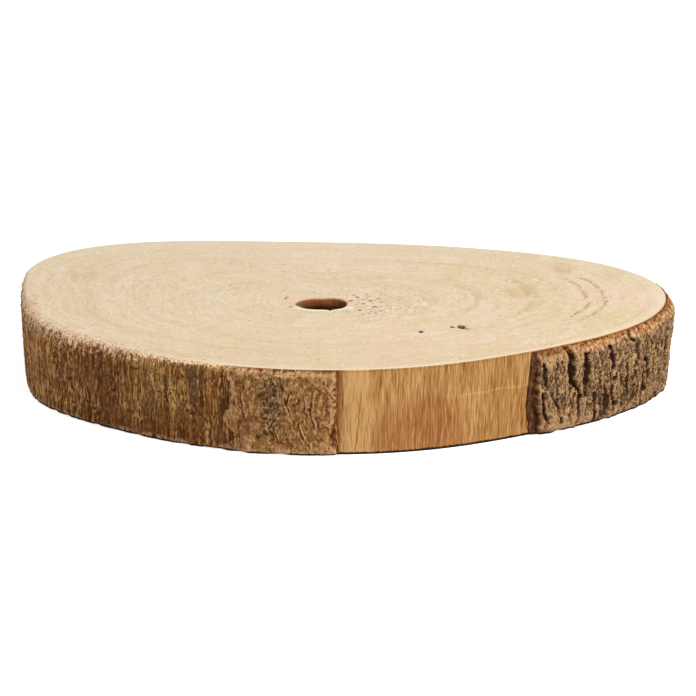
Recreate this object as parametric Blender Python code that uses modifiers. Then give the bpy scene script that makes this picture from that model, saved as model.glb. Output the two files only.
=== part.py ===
"""A slice sawn from a tree trunk: a pale disc of wood with an open pith, and the bark that is still on it.

The bark has come away along the front and at the back, which leaves two patches. The left one is worn down to
its fibrous inner layer, with some flaky outer bark at its front end. The right one is thick and furrowed.
Everything is laid out round the pith, by angle and height. Metres, +Z up, with the front of the slice at -Y.
"""

import math

import bmesh
import bpy
import numpy as np

# The slice
THICKNESS = 0.0390
MEAN_RADIUS = 0.1438
# Waves of the trunk's outline: how many crests go round, their height, and the angle of one crest in degrees
OUTLINE_WAVES = (
    (1, 0.0120, 66),
    (2, 0.0070, -22),
    (3, 0.0095, 18),
    (4, 0.0028, 35),
    (5, 0.0023, -12),
    (6, 0.0013, 15),
    (7, 0.0009, -18),
)
BASE_SHARE = 0.982  # the trunk's width at the slice's base, as a share of its width at the top
RIM_ROUND = 0.0008  # rounding of the sawn rims
OUTLINE_SIDES = 240

# The open pith, a little longer from front to back than across
PITH_RADIUS = 0.0126
PITH_WAVES = ((2, 0.0013, 90), (3, 0.0004, 35))
PITH_SIDES = 48

# Bark in general
SEAT_GAP = 0.0003  # between bark and wood
STRAIGHT_AT = 0.5  # the inner face takes its upright edges from the outer face at this share of the height
NOISE_CELLS = 64
# Noise below is in layers, each with its values a degree, its values up the height and its strength

# The thick bark on the right: vertical plates with furrows between them
THICK_FROM = -46.5  # degrees
THICK_TO = 68.0
THICK_PLATES = 34
THICK_ROWS = 14
PLATE_WIDTHS = (0.6, 1.4)  # the narrowest and the widest plate, where 1 is the mean width
PLATE_THICKNESS_FRONT = 0.0050  # at the broken front edge
PLATE_THICKNESS = 0.0037  # beyond THINS_OVER of the patch
THINS_OVER = 0.35
PLATE_STEP = 0.0006  # how far a plate's upper or lower half stands above or below the mean
PLATE_TILT = 0.0006  # and how far one long side stands above the other
BREAK_HEIGHT = 0.08  # how much of the height the break between a plate's halves takes
FURROW_DEPTH = 0.0027
SHALLOW_SHARE = 0.30  # depth of a furrow past its ends, as a share of its depth between them
FURROW_END = 0.2  # how much of the height a furrow takes to grow shallow
FURROW_SWAY = (0.06, 0.22)  # how far furrows wander sideways, where 1 is the mean width of a plate
EDGE_SWAY = 0.16  # the same for the broken front edge
EDGE_DEPTH = 0.3  # depth of the furrows at the patch's two ends, as a share of the others'
FURROW_SHOULDER = 0.19  # how far a furrow's side reaches into a plate, as a share of the plate's width
PLATE_COLUMNS = (0.0, FURROW_SHOULDER, 0.5, 1 - FURROW_SHOULDER)
THICK_TOP_INNER = 0.0006  # how far the sawn top lies below the wood's, against the wood
THICK_TOP_OUTER = 0.0034  # and at the bark's outer face, where it has crumbled
THICK_SEED = 11

# The thin bark on the left: fibrous inner bark, with a flaky patch at its front end
THIN_FROM = 115.0  # degrees
THIN_TO = 273.5
THIN_THICKNESS = 0.0016
FIBRE_HEIGHT = 0.0005
FIBRES = ((1.1, 1.2, 1.0), (0.4, 3, 0.5))
THIN_COLUMNS = 100
THIN_TOP_INNER = 0.0003
THIN_TOP_OUTER = 0.0014
FLAKY_FROM = 250.5
FLAKY_TO = 272.0
FLAKY_THICKNESS = 0.0021  # on top of the inner bark
FLAKE_HEIGHT = 0.0009
FLAKY_COLUMNS = 28
FLAKY_SWAY_LEFT = 1.6  # degrees that the flaky patch's edges wander
FLAKY_SWAY_RIGHT = 0.9
FLAKY_RISE = 1.0  # degrees over which it rises from the inner bark
FLAKES = ((0.55, 6, 1.0), (1.1, 12, 0.6))
THIN_ROWS = 14
RAGGED_BACK = 0.9  # degrees that its back end wanders
RAGGED_FRONT = 0.3
RAGGED_ROWS = 5  # values up the height, of the noise along ragged edges
THIN_SEED = 5

# Every bark's edges
BARK_BASE = 0.0003  # the lowest bark above the surface that the wood stands on
BASE_CHIPS = 0.0011  # how much more is chipped away there in places
WORN_TOP = 0.30  # how much thinner the bark is at its top edge, as a share
WORN_TOP_HEIGHT = 0.004
WORN_BASE = 0.12
WORN_BASE_HEIGHT = 0.003
CRUMBLING = ((0.35, 0, 0.45), (1.0, 0, 0.25))
CHIPS = ((0.4, 0, 1.0),)
CRUMBLING_SEED = 20
CHIPS_SEED = 22

WOOD_COLOUR = (0.78, 0.63, 0.43)
THIN_BARK_COLOUR = (0.19, 0.085, 0.030)
THICK_BARK_COLOUR = (0.20, 0.125, 0.070)


def smooth_step(x):
    """0 below 0, 1 above 1, and smooth between."""
    x = np.clip(x, 0, 1)
    return x * x * (3 - 2 * x)


def value_noise(x, y, seed):
    """Smooth noise from -1 to 1, with one random value a unit."""
    x, y = np.broadcast_arrays(x, y)
    values = np.random.default_rng(seed).uniform(-1, 1, (NOISE_CELLS, NOISE_CELLS))
    column = np.floor(x).astype(int)
    row = np.floor(y).astype(int)
    across = smooth_step(x - column)
    up = smooth_step(y - row)

    def corner(right, above):
        return values[(column + right) % NOISE_CELLS, (row + above) % NOISE_CELLS]

    lower = corner(0, 0) * (1 - across) + corner(1, 0) * across
    upper = corner(0, 1) * (1 - across) + corner(1, 1) * across
    return lower * (1 - up) + upper * up


def layered_noise(degrees, up, layers, seed):
    """The sum of a few layers of noise, each with its own seed."""
    total = 0
    for number, (per_degree, per_height, strength) in enumerate(layers):
        total = total + strength * value_noise(per_degree * degrees, per_height * up, seed + number)
    return total


def ragged_edge(up, seed):
    """How an upright edge wanders sideways with height, from -1 to 1."""
    return value_noise(0, RAGGED_ROWS * up, seed)


def waved_radius(mean, waves, angle):
    """A radius that swells in waves round the axis."""
    radius = mean + 0 * angle
    for count, height, crest in waves:
        radius = radius + height * np.cos(count * (angle - math.radians(crest)))
    return radius


def wood_radius(angle, height):
    """The wood's own surface, under the bark, from the pith's axis."""
    narrowing = BASE_SHARE + (1 - BASE_SHARE) * height / THICKNESS
    return waved_radius(MEAN_RADIUS, OUTLINE_WAVES, angle) * narrowing


def material(name, colour, roughness):
    made = bpy.data.materials.new(name)
    made.use_nodes = True
    surface = made.node_tree.nodes["Principled BSDF"]
    surface.inputs["Base Color"].default_value = (*colour, 1)
    surface.inputs["Roughness"].default_value = roughness
    surface.inputs["Metallic"].default_value = 0
    return made


def points_of(mesh):
    points = np.empty(len(mesh.vertices) * 3)
    mesh.vertices.foreach_get("co", points)
    return points.reshape(-1, 3)


def set_points(mesh, points):
    mesh.vertices.foreach_set("co", np.asarray(points, float).ravel())
    mesh.update()


def at_polar(angle, radius, height):
    return np.column_stack([radius * np.cos(angle), radius * np.sin(angle), height])


def cylinder_mesh(name, sides):
    """A closed cylinder of radius 1 from height 0 to 1."""
    mesh = bpy.data.meshes.new(name)
    shape = bmesh.new()
    bmesh.ops.create_cone(shape, cap_ends=True, segments=sides, radius1=1, radius2=1, depth=1)
    shape.to_mesh(mesh)
    shape.free()
    set_points(mesh, points_of(mesh) + (0, 0, 0.5))
    return mesh


def slab_mesh(name, columns, rows):
    """A closed slab cut into columns and rows, 0 to 1 along X and Y. Z is 1 on its outer face and 0 inside."""
    mesh = bpy.data.meshes.new(name)
    shape = bmesh.new()
    bmesh.ops.create_grid(shape, x_segments=columns, y_segments=rows, size=0.5)
    outer = bmesh.ops.extrude_face_region(shape, geom=shape.faces[:] + shape.edges[:])["geom"]
    bmesh.ops.translate(shape, vec=(0, 0, 1), verts=[v for v in outer if isinstance(v, bmesh.types.BMVert)])
    bmesh.ops.recalc_face_normals(shape, faces=shape.faces[:])
    shape.to_mesh(mesh)
    shape.free()
    set_points(mesh, points_of(mesh) + (0.5, 0.5, 0))
    return mesh


def add_part(name, mesh, collection, parent, finish):
    made = bpy.data.objects.new(name, mesh)
    collection.objects.link(made)
    made.parent = parent
    mesh.materials.append(finish)
    return made


def wood_disc(collection, cutters, parent):
    """The sawn disc, with its rims rounded and the pith open right through it."""
    mesh = cylinder_mesh("wood", OUTLINE_SIDES)
    x, y, share = points_of(mesh).T
    angle = np.arctan2(y, x)
    height = share * THICKNESS
    set_points(mesh, at_polar(angle, wood_radius(angle, height), height))
    wood = add_part("wood", mesh, collection, parent, material("wood", WOOD_COLOUR, 0.6))

    rims = wood.modifiers.new("rounded rims", "BEVEL")
    rims.width = RIM_ROUND
    rims.segments = 2
    rims.limit_method = "ANGLE"
    rims.angle_limit = math.radians(60)

    pith = wood.modifiers.new("open pith", "BOOLEAN")
    pith.operation = "DIFFERENCE"
    pith.object = pith_cutter(cutters, parent)
    return wood


def pith_cutter(collection, parent):
    mesh = cylinder_mesh("pith_cutter", PITH_SIDES)
    x, y, share = points_of(mesh).T
    angle = np.arctan2(y, x)
    height = (3 * share - 1) * THICKNESS
    set_points(mesh, at_polar(angle, waved_radius(PITH_RADIUS, PITH_WAVES, angle), height))
    cutter = bpy.data.objects.new("pith_cutter", mesh)
    collection.objects.link(cutter)
    cutter.parent = parent
    cutter.hide_render = True
    cutter.display_type = "WIRE"
    return cutter


def furrow_lines():
    """Random draws for the furrows and for the plates between them, which are one fewer."""
    random = np.random.default_rng(THICK_SEED)
    count = THICK_PLATES + 1
    widths = random.uniform(*PLATE_WIDTHS, THICK_PLATES)
    lines = {
        "at": np.concatenate([[0], np.cumsum(widths)]) / widths.sum(),
        "sway": random.uniform(*FURROW_SWAY, count) / THICK_PLATES,
        "turns": random.uniform(0.4, 1.2, count),
        "start": random.uniform(0, 1, count),
        "middle": random.uniform(0.1, 0.9, count),
        "reach": random.uniform(0.25, 0.75, count),
        "depth": FURROW_DEPTH * random.uniform(0.55, 1.15, count),
    }
    lines["sway"][0] = EDGE_SWAY / THICK_PLATES
    lines["depth"][[0, -1]] *= EDGE_DEPTH
    plates = {
        "break": random.uniform(0.2, 0.8, THICK_PLATES),
        "above": PLATE_STEP * random.uniform(-1, 1, THICK_PLATES),
        "below": PLATE_STEP * random.uniform(-1, 1, THICK_PLATES),
        "tilt": PLATE_TILT * random.uniform(-1, 1, THICK_PLATES),
    }
    return lines, plates


def furrow(lines, i, up):
    """Where furrow i runs at a height, as a share of the patch, and how deep it is there."""
    at = lines["at"][i] + lines["sway"][i] * np.sin(2 * np.pi * (lines["turns"][i] * up + lines["start"][i]))
    past_end = smooth_step((np.abs(up - lines["middle"][i]) - lines["reach"][i]) / FURROW_END + 1)
    return at, lines["depth"][i] * (1 - (1 - SHALLOW_SHARE) * past_end)


def thick_bark_shape(along, up):
    """Angle and thickness of the furrowed bark. along counts plates, and up goes from 0 at the base to 1."""
    lines, plates = furrow_lines()
    plate = np.minimum(along.astype(int), THICK_PLATES - 1)
    share = along - plate
    left, left_depth = furrow(lines, plate, up)
    right, right_depth = furrow(lines, plate + 1, up)
    across = left * (1 - share) + right * share

    thinned = smooth_step(across / THINS_OVER)
    crest = PLATE_THICKNESS_FRONT * (1 - thinned) + PLATE_THICKNESS * thinned
    upper = smooth_step((up - plates["break"][plate]) / BREAK_HEIGHT)
    crest = crest + plates["below"][plate] * (1 - upper) + plates["above"][plate] * upper
    crest = crest + plates["tilt"][plate] * (share - 0.5)
    groove = left_depth * (1 - smooth_step(share / FURROW_SHOULDER))
    groove = groove + right_depth * (1 - smooth_step((1 - share) / FURROW_SHOULDER))
    return np.radians(THICK_FROM + (THICK_TO - THICK_FROM) * across), crest - groove


def thin_bark_shape(along, up):
    """Angle and thickness of the left patch. along is 0 at its back end and 1 at its front end."""
    fibrous = THIN_COLUMNS / (THIN_COLUMNS + FLAKY_COLUMNS)
    angle = np.where(
        along < fibrous,
        THIN_FROM + (FLAKY_FROM - THIN_FROM) * along / fibrous,
        FLAKY_FROM + (THIN_TO - FLAKY_FROM) * (along - fibrous) / (1 - fibrous),
    )
    angle = angle + RAGGED_BACK * ragged_edge(up, THIN_SEED) * np.clip(1 - 2 * along, 0, 1)
    angle = angle + RAGGED_FRONT * ragged_edge(up, THIN_SEED + 7) * np.clip(2 * along - 1, 0, 1)
    fibres = layered_noise(angle, up, FIBRES, THIN_SEED + 1)
    flakes = layered_noise(angle, up, FLAKES, THIN_SEED + 5)
    flaky = flaky_share(angle, up)
    thickness = THIN_THICKNESS + FIBRE_HEIGHT * fibres * (1 - flaky)
    thickness = thickness + flaky * (FLAKY_THICKNESS + FLAKE_HEIGHT * flakes)
    return np.radians(angle), thickness


def flaky_share(angle, up):
    """1 where the flaky outer bark is left on the thin patch, and 0 where it has come off."""
    left_edge = FLAKY_FROM + FLAKY_SWAY_LEFT * ragged_edge(up, THIN_SEED + 3)
    right_edge = FLAKY_TO + FLAKY_SWAY_RIGHT * ragged_edge(up, THIN_SEED + 4)
    return smooth_step((angle - left_edge) / FLAKY_RISE) * smooth_step((right_edge - angle) / FLAKY_RISE)


def bark_points(angle, thickness, up, outer, top_inner, top_outer, seed):
    """Where a slab's points go, wrapped round the wood. The crumbled top edge slopes down and outwards."""
    degrees = np.degrees(angle)
    crumbled = 1 + layered_noise(degrees, 0, CRUMBLING, seed + CRUMBLING_SEED)
    chips = np.clip(layered_noise(degrees, 0, CHIPS, seed + CHIPS_SEED), 0, 1)
    top = THICKNESS - np.where(outer, top_outer * crumbled, top_inner)
    base = BARK_BASE + np.where(outer, BASE_CHIPS * chips, 0)
    height = base + up * (top - base)
    near_top = np.clip(1 - (top - height) / WORN_TOP_HEIGHT, 0, 1)
    near_base = np.clip(1 - (height - base) / WORN_BASE_HEIGHT, 0, 1)
    worn = 1 - WORN_TOP * near_top**2 - WORN_BASE * near_base**2
    radius = wood_radius(angle, height) + SEAT_GAP + np.where(outer, thickness * worn, 0)
    return at_polar(angle, radius, height)


def thick_bark(collection, parent):
    per_plate = len(PLATE_COLUMNS)
    columns = THICK_PLATES * per_plate
    mesh = slab_mesh("bark_right", columns, THICK_ROWS)
    across, up, side = points_of(mesh).T
    column = np.rint(across * columns).astype(int)
    plate = column // per_plate
    along = plate + np.array(PLATE_COLUMNS)[column % per_plate]
    outer = side > 0.5
    angle, thickness = thick_bark_shape(along, np.where(outer, up, STRAIGHT_AT))
    set_points(mesh, bark_points(angle, thickness, up, outer, THICK_TOP_INNER, THICK_TOP_OUTER, THICK_SEED))
    return add_part("bark_right", mesh, collection, parent, material("outer_bark", THICK_BARK_COLOUR, 0.95))


def thin_bark(collection, parent):
    mesh = slab_mesh("bark_left", THIN_COLUMNS + FLAKY_COLUMNS, THIN_ROWS)
    along, up, side = points_of(mesh).T
    outer = side > 0.5
    angle, thickness = thin_bark_shape(along, np.where(outer, up, STRAIGHT_AT))
    set_points(mesh, bark_points(angle, thickness, up, outer, THIN_TOP_INNER, THIN_TOP_OUTER, THIN_SEED))
    return add_part("bark_left", mesh, collection, parent, material("inner_bark", THIN_BARK_COLOUR, 0.9))


def centre_on_origin(parent, parts):
    """Moves the pith, which everything is laid out from, so that the whole slice is centred on the origin."""
    points = np.concatenate([points_of(part.data) for part in parts])
    middle = (points.min(axis=0) + points.max(axis=0)) / 2
    parent.location = (-middle[0], -middle[1], 0)


def main():
    for found in list(bpy.data.objects):
        bpy.data.objects.remove(found)
    parts = bpy.data.collections.new("wood_slice")
    cutters = bpy.data.collections.new("cutters")
    bpy.context.scene.collection.children.link(parts)
    bpy.context.scene.collection.children.link(cutters)
    pith = bpy.data.objects.new("pith", None)
    parts.objects.link(pith)

    made = [wood_disc(parts, cutters, pith), thick_bark(parts, pith), thin_bark(parts, pith)]
    centre_on_origin(pith, made)
    for part in made[1:]:
        part.data.shade_smooth()
        part.data.set_sharp_from_angle(angle=math.radians(35))


main()
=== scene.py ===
"""The looks of a slice sawn from a tree trunk: finer meshes and finishes for its wood and its two patches of bark.

Everything is laid out round the pith, by angle and height, with the formulas and seeds that the plain solids have.
Each finer mesh adds what they leave out: fibres, cracks, flakes, crumbled edges, grain and pits. Lengths are metres.
"""

import math

import bpy
import numpy as np
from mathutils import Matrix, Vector


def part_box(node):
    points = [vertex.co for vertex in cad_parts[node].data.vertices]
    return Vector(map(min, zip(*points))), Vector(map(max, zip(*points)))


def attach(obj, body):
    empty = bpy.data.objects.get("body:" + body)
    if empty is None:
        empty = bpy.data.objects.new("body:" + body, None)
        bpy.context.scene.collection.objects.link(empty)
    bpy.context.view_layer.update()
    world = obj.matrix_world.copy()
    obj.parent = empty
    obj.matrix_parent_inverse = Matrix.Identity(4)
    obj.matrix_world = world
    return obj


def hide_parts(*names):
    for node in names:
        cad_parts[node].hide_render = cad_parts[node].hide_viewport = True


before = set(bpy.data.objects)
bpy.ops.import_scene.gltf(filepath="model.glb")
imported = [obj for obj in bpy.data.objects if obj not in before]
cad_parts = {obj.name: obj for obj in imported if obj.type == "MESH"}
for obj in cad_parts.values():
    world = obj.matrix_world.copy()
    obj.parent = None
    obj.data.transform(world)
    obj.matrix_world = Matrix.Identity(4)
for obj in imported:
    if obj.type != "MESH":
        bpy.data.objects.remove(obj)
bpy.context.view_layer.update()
MM = 0.001

# The slice, as the solids have it
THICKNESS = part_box("wood")[1].z
MEAN_RADIUS = 0.1438
OUTLINE_WAVES = (
    (1, 0.0120, 66), (2, 0.0070, -22), (3, 0.0095, 18), (4, 0.0028, 35), (5, 0.0023, -12), (6, 0.0013, 15),
    (7, 0.0009, -18),
)
BASE_SHARE = 0.982
PITH_RADIUS = 0.0126
PITH_WAVES = ((2, 0.0013, 90), (3, 0.0004, 35))
NOISE_CELLS = 64
FINE_CELLS = 256  # of the noises that only the finer meshes have
GRADIENT_GAIN = 1.6
FAR = 9.0  # cells away, more than any nearest cell is

# The thick bark, as the solids have it
THICK_FROM = -46.5
THICK_TO = 68.0
THICK_PLATES = 34
PLATE_WIDTHS = (0.6, 1.4)
PLATE_THICKNESS_FRONT = 0.0050
PLATE_THICKNESS = 0.0037
THINS_OVER = 0.35
PLATE_STEP = 0.0006
PLATE_TILT = 0.0006
BREAK_HEIGHT = 0.08
FURROW_DEPTH = 0.0027
SHALLOW_SHARE = 0.30
FURROW_END = 0.2
FURROW_SWAY = (0.06, 0.22)
EDGE_SWAY = 0.16
EDGE_DEPTH = 0.3
FURROW_SHOULDER = 0.19
THICK_TOP_INNER = 0.0006
THICK_TOP_OUTER = 0.0034
THICK_SEED = 11

# The thin bark, as the solids have it
THIN_FROM = 115.0
THIN_TO = 273.5
THIN_THICKNESS = 0.0016
FIBRE_HEIGHT = 0.0005
FIBRES = ((1.1, 1.2, 1.0), (0.4, 3, 0.5))
THIN_TOP_INNER = 0.0003
THIN_TOP_OUTER = 0.0014
FLAKY_FROM = 250.5
FLAKY_TO = 272.0
FLAKY_THICKNESS = 0.0021
FLAKE_HEIGHT = 0.0009
FLAKY_SWAY_LEFT = 1.6
FLAKY_SWAY_RIGHT = 0.9
FLAKY_RISE = 1.0
FLAKES = ((0.55, 6, 1.0), (1.1, 12, 0.6))
RAGGED_BACK = 0.9
RAGGED_FRONT = 0.3
RAGGED_ROWS = 5
THIN_SEED = 5

BARK_BASE = 0.0003
BASE_CHIPS = 0.0011
WORN_TOP = 0.30
WORN_TOP_HEIGHT = 0.004
WORN_BASE = 0.12
WORN_BASE_HEIGHT = 0.003
CRUMBLING = ((0.35, 0, 0.45), (1.0, 0, 0.25))
CHIPS = ((0.4, 0, 1.0),)
CRUMBLING_SEED = 20
CHIPS_SEED = 22

SEAT_GAP = 0.0001  # between the finer bark and the wood

# The camera: it looks along +Y and down at the photograph's angle
IMAGE_SIDE = 696
CAMERA_ELEVATION = math.radians(12.8)
CAMERA_DISTANCE = 3.0
PIXELS_PER_METRE = 2179.0
PITH_PIXEL = (321.0, 303.9)
FRONT_DEGREES = (190, 350, 1601)  # the part of the side that it sees, from, to and in how many points
FRONT_NEARER = 1.045  # how much larger the front edge comes out than the pith


def smooth(x):
    """0 below 0, 1 above 1, and smooth between."""
    x = np.clip(x, 0, 1)
    return x * x * (3 - 2 * x)


def between_corners(x, y, cells, corner, fade):
    """Noise in square cells, one a unit: from the value that each of a cell's corners gives, by its column and row
    among the cells and the place from it."""
    x, y = np.broadcast_arrays(x, y)
    column = np.floor(x).astype(int)
    row = np.floor(y).astype(int)
    right, up = x - column, y - row

    def value(i, j):
        return corner((column + i) % cells, (row + j) % cells, right - i, up - j)

    across, above = fade(right), fade(up)
    lower = value(0, 0) * (1 - across) + value(1, 0) * across
    upper = value(0, 1) * (1 - across) + value(1, 1) * across
    return lower * (1 - above) + upper * above


def value_noise(x, y, seed):
    """Smooth noise from -1 to 1, with one random value a unit."""
    values = np.random.default_rng(seed).uniform(-1, 1, (NOISE_CELLS, NOISE_CELLS))
    return between_corners(x, y, NOISE_CELLS, lambda column, row, right, up: values[column, row], smooth)


def layered_noise(degrees, up, layers, seed):
    """The sum of a few layers of noise, each with its own seed."""
    total = 0
    for number, (per_degree, per_height, strength) in enumerate(layers):
        total = total + strength * value_noise(per_degree * degrees, per_height * up, seed + number)
    return total


def ragged_edge(up, seed):
    """How an upright edge wanders sideways with height, from -1 to 1."""
    return value_noise(0, RAGGED_ROWS * up, seed)


def waved_radius(mean, waves, angle):
    """A radius that swells in waves round the axis."""
    radius = mean + 0 * angle
    for count, height, crest in waves:
        radius = radius + height * np.cos(count * (angle - math.radians(crest)))
    return radius


def wood_radius(angle, height):
    """The wood's own surface, under the bark, from the pith's axis."""
    narrowing = BASE_SHARE + (1 - BASE_SHARE) * height / THICKNESS
    return waved_radius(MEAN_RADIUS, OUTLINE_WAVES, angle) * narrowing


def furrow_lines():
    """Random draws for the furrows and for the plates between them, which are one fewer."""
    random = np.random.default_rng(THICK_SEED)
    count = THICK_PLATES + 1
    widths = random.uniform(*PLATE_WIDTHS, THICK_PLATES)
    lines = {
        "at": np.concatenate([[0], np.cumsum(widths)]) / widths.sum(),
        "sway": random.uniform(*FURROW_SWAY, count) / THICK_PLATES,
        "turns": random.uniform(0.4, 1.2, count),
        "start": random.uniform(0, 1, count),
        "middle": random.uniform(0.1, 0.9, count),
        "reach": random.uniform(0.25, 0.75, count),
        "depth": FURROW_DEPTH * random.uniform(0.55, 1.15, count),
    }
    lines["sway"][0] = EDGE_SWAY / THICK_PLATES
    lines["depth"][[0, -1]] *= EDGE_DEPTH
    plates = {
        "break": random.uniform(0.2, 0.8, THICK_PLATES),
        "above": PLATE_STEP * random.uniform(-1, 1, THICK_PLATES),
        "below": PLATE_STEP * random.uniform(-1, 1, THICK_PLATES),
        "tilt": PLATE_TILT * random.uniform(-1, 1, THICK_PLATES),
    }
    return lines, plates


def furrow(lines, i, up):
    """Where furrow i runs at a height, as a share of the patch, and how deep it is there."""
    at = lines["at"][i] + lines["sway"][i] * np.sin(2 * np.pi * (lines["turns"][i] * up + lines["start"][i]))
    past_end = smooth((np.abs(up - lines["middle"][i]) - lines["reach"][i]) / FURROW_END + 1)
    return at, lines["depth"][i] * (1 - (1 - SHALLOW_SHARE) * past_end)


def thick_bark_shape(along, up):
    """Angle, thickness and furrow depth of the furrowed bark. along counts plates, and up goes from 0 to 1."""
    lines, plates = furrow_lines()
    plate = np.clip(along.astype(int), 0, THICK_PLATES - 1)
    share = along - plate
    left, left_depth = furrow(lines, plate, up)
    right, right_depth = furrow(lines, plate + 1, up)
    across = left * (1 - share) + right * share

    thinned = smooth(across / THINS_OVER)
    crest = PLATE_THICKNESS_FRONT * (1 - thinned) + PLATE_THICKNESS * thinned
    upper = smooth((up - plates["break"][plate]) / BREAK_HEIGHT)
    crest = crest + plates["below"][plate] * (1 - upper) + plates["above"][plate] * upper
    crest = crest + plates["tilt"][plate] * (share - 0.5)
    groove = left_depth * (1 - smooth(share / FURROW_SHOULDER))
    groove = groove + right_depth * (1 - smooth((1 - share) / FURROW_SHOULDER))
    return np.radians(THICK_FROM + (THICK_TO - THICK_FROM) * across), crest - groove, groove


def flaky_share(angle, up):
    """1 where the flaky outer bark is left on the thin patch, and 0 where it has come off."""
    left_edge = FLAKY_FROM + FLAKY_SWAY_LEFT * ragged_edge(up, THIN_SEED + 3)
    right_edge = FLAKY_TO + FLAKY_SWAY_RIGHT * ragged_edge(up, THIN_SEED + 4)
    return smooth((angle - left_edge) / FLAKY_RISE) * smooth((right_edge - angle) / FLAKY_RISE)


def swells(x, y, seed):
    """Smooth noise from about -1 to 1 with no grid to be seen in it, one swell a unit."""
    turn = np.random.default_rng(seed).uniform(0, 2 * np.pi, (FINE_CELLS, FINE_CELLS))

    def corner(column, row, right, up):
        slope = turn[column, row]
        return np.cos(slope) * right + np.sin(slope) * up

    def fade(x):
        return x**3 * (x * (x * 6 - 15) + 10)

    return GRADIENT_GAIN * between_corners(x, y, FINE_CELLS, corner, fade)


def fractal(x, y, seed, octaves=3):
    """Gradient noise with finer noise on it."""
    total = 0
    for octave in range(octaves):
        total = total + swells(x * 2**octave, y * 2**octave, seed + octave) / 2**octave
    return total


def ridged(x, y, seed, octaves=2):
    """Noise with sharp crests, from about 0 to 1."""
    total = 0
    for octave in range(octaves):
        crest = 1 - np.abs(swells(x * 2**octave, y * 2**octave, seed + octave))
        total = total + crest**2 / 2**octave
    return total / (2 - 0.5 ** (octaves - 1))


def thin_lines(x, y, seed, width):
    """Thin winding lines: 1 on a line, and 0 away from it."""
    return smooth(1 - np.abs(swells(x, y, seed)) / width)


def cell_noise(x, y, seed):
    """Irregular cells, one a unit: distance to the nearest cell's edge, two random numbers of that cell, and
    the place in it."""
    draw = np.random.default_rng(seed)
    jitter = draw.uniform(0.1, 0.9, (FINE_CELLS, FINE_CELLS, 2))
    tags = draw.uniform(0, 1, (FINE_CELLS, FINE_CELLS, 2))
    column = np.floor(x).astype(int)
    row = np.floor(y).astype(int)
    first = np.full(np.shape(x), FAR)
    second = np.full(np.shape(x), FAR)
    tag = np.zeros(np.shape(x) + (2,))
    place = np.zeros(np.shape(x) + (2,))
    for i in (-1, 0, 1):
        for j in (-1, 0, 1):
            c, r = (column + i) % FINE_CELLS, (row + j) % FINE_CELLS
            dx = column + i + jitter[c, r, 0] - x
            dy = row + j + jitter[c, r, 1] - y
            distance = np.hypot(dx, dy)
            nearer = distance < first
            second = np.where(nearer, first, np.minimum(second, distance))
            first = np.where(nearer, distance, first)
            tag = np.where(nearer[..., None], tags[c, r], tag)
            place = np.where(nearer[..., None], np.stack([dx, dy], axis=-1), place)
    return second - first, tag, place


def creases(arc, rise, lines, width, fade_out=1.2):
    """1 in the middle of a few drawn lines, and 0 outside their width. Each line is a row of points, in degrees and
    in millimetres of height."""
    total = 0 * arc
    for line in lines:
        for (from_angle, from_rise), (to_angle, to_rise) in zip(line[:-1], line[1:]):
            start = math.radians(from_angle) * MEAN_ARC
            step_arc, step_rise = math.radians(to_angle) * MEAN_ARC - start, to_rise - from_rise
            share = ((arc - start) * step_arc + (rise - from_rise) * step_rise) / (step_arc**2 + step_rise**2)
            share = np.clip(share, 0, 1)
            across = np.abs(arc - start - share * step_arc) / (0.5 * width)
            past = np.abs(rise - from_rise - share * step_rise) / fade_out
            total = np.maximum(total, 1 - smooth((np.hypot(across, past) - 0.3) / 0.7))
    return total


def blurred(grid, reach, axis):
    """A grid's running mean over reach cells each way along one axis."""
    pad = [(0, 0), (0, 0)]
    pad[axis] = (reach, reach)
    sums = np.cumsum(np.pad(grid, pad, mode="edge"), axis=axis)
    sums = np.insert(sums, 0, 0, axis=axis)
    width = 2 * reach + 1
    count = grid.shape[axis]
    upper = np.take(sums, np.arange(width, width + count), axis=axis)
    lower = np.take(sums, np.arange(count), axis=axis)
    return (upper - lower) / width


def hollowness(height, reach, scale):
    """How far each point of a height grid stands out of what is round it: 0.5 level, 1 standing out, 0 sunk."""
    mean = height
    for axis in (0, 1, 0, 1):
        mean = blurred(mean, reach, axis)
    return np.clip(0.5 + (height - mean) / scale, 0, 1)


def pith_place():
    """Where the pith's axis is: the outline's own box, set on the wood's box."""
    low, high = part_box("wood")
    angle = np.radians(np.arange(0, 360, 0.25))
    radius = wood_radius(angle, THICKNESS)
    x, y = radius * np.cos(angle), radius * np.sin(angle)
    return Vector(((low.x + high.x - x.min() - x.max()) / 2, (low.y + high.y - y.min() - y.max()) / 2, 0))


PITH = pith_place()


def points_round(radius, angle, height):
    """Points at a radius, an angle and a height, from the pith's axis."""
    return np.stack([radius * np.cos(angle), radius * np.sin(angle), height], axis=-1)


def mesh_of_grid(name, points, faces, place, layers):
    """A mesh from a grid of points and faces. The finish reads each point's place on the surface, as three numbers,
    and a few more values by name."""
    mesh = bpy.data.meshes.new(name)
    mesh.from_pydata((points + np.array(PITH)).reshape(-1, 3), [], faces)
    places = np.stack(np.broadcast_arrays(*place), axis=-1).astype(np.float32)
    mesh.attributes.new("place", "FLOAT_VECTOR", "POINT").data.foreach_set("vector", places.ravel())
    for layer, values in layers.items():
        values = np.broadcast_to(values, points.shape[:2]).astype(np.float32)
        mesh.attributes.new(layer, "FLOAT", "POINT").data.foreach_set("value", values.ravel())
    mesh.validate()
    mesh.shade_smooth()
    return mesh


def add_piece(name, mesh, finish, node):
    piece = bpy.data.objects.new(name, mesh)
    bpy.context.scene.collection.objects.link(piece)
    mesh.materials.append(finish)
    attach(piece, "root")
    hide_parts(node)
    return piece


def quads_between(a, b):
    """Faces between two rows of point numbers of equal length."""
    return np.column_stack([a[:-1], a[1:], b[1:], b[:-1]])


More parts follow.
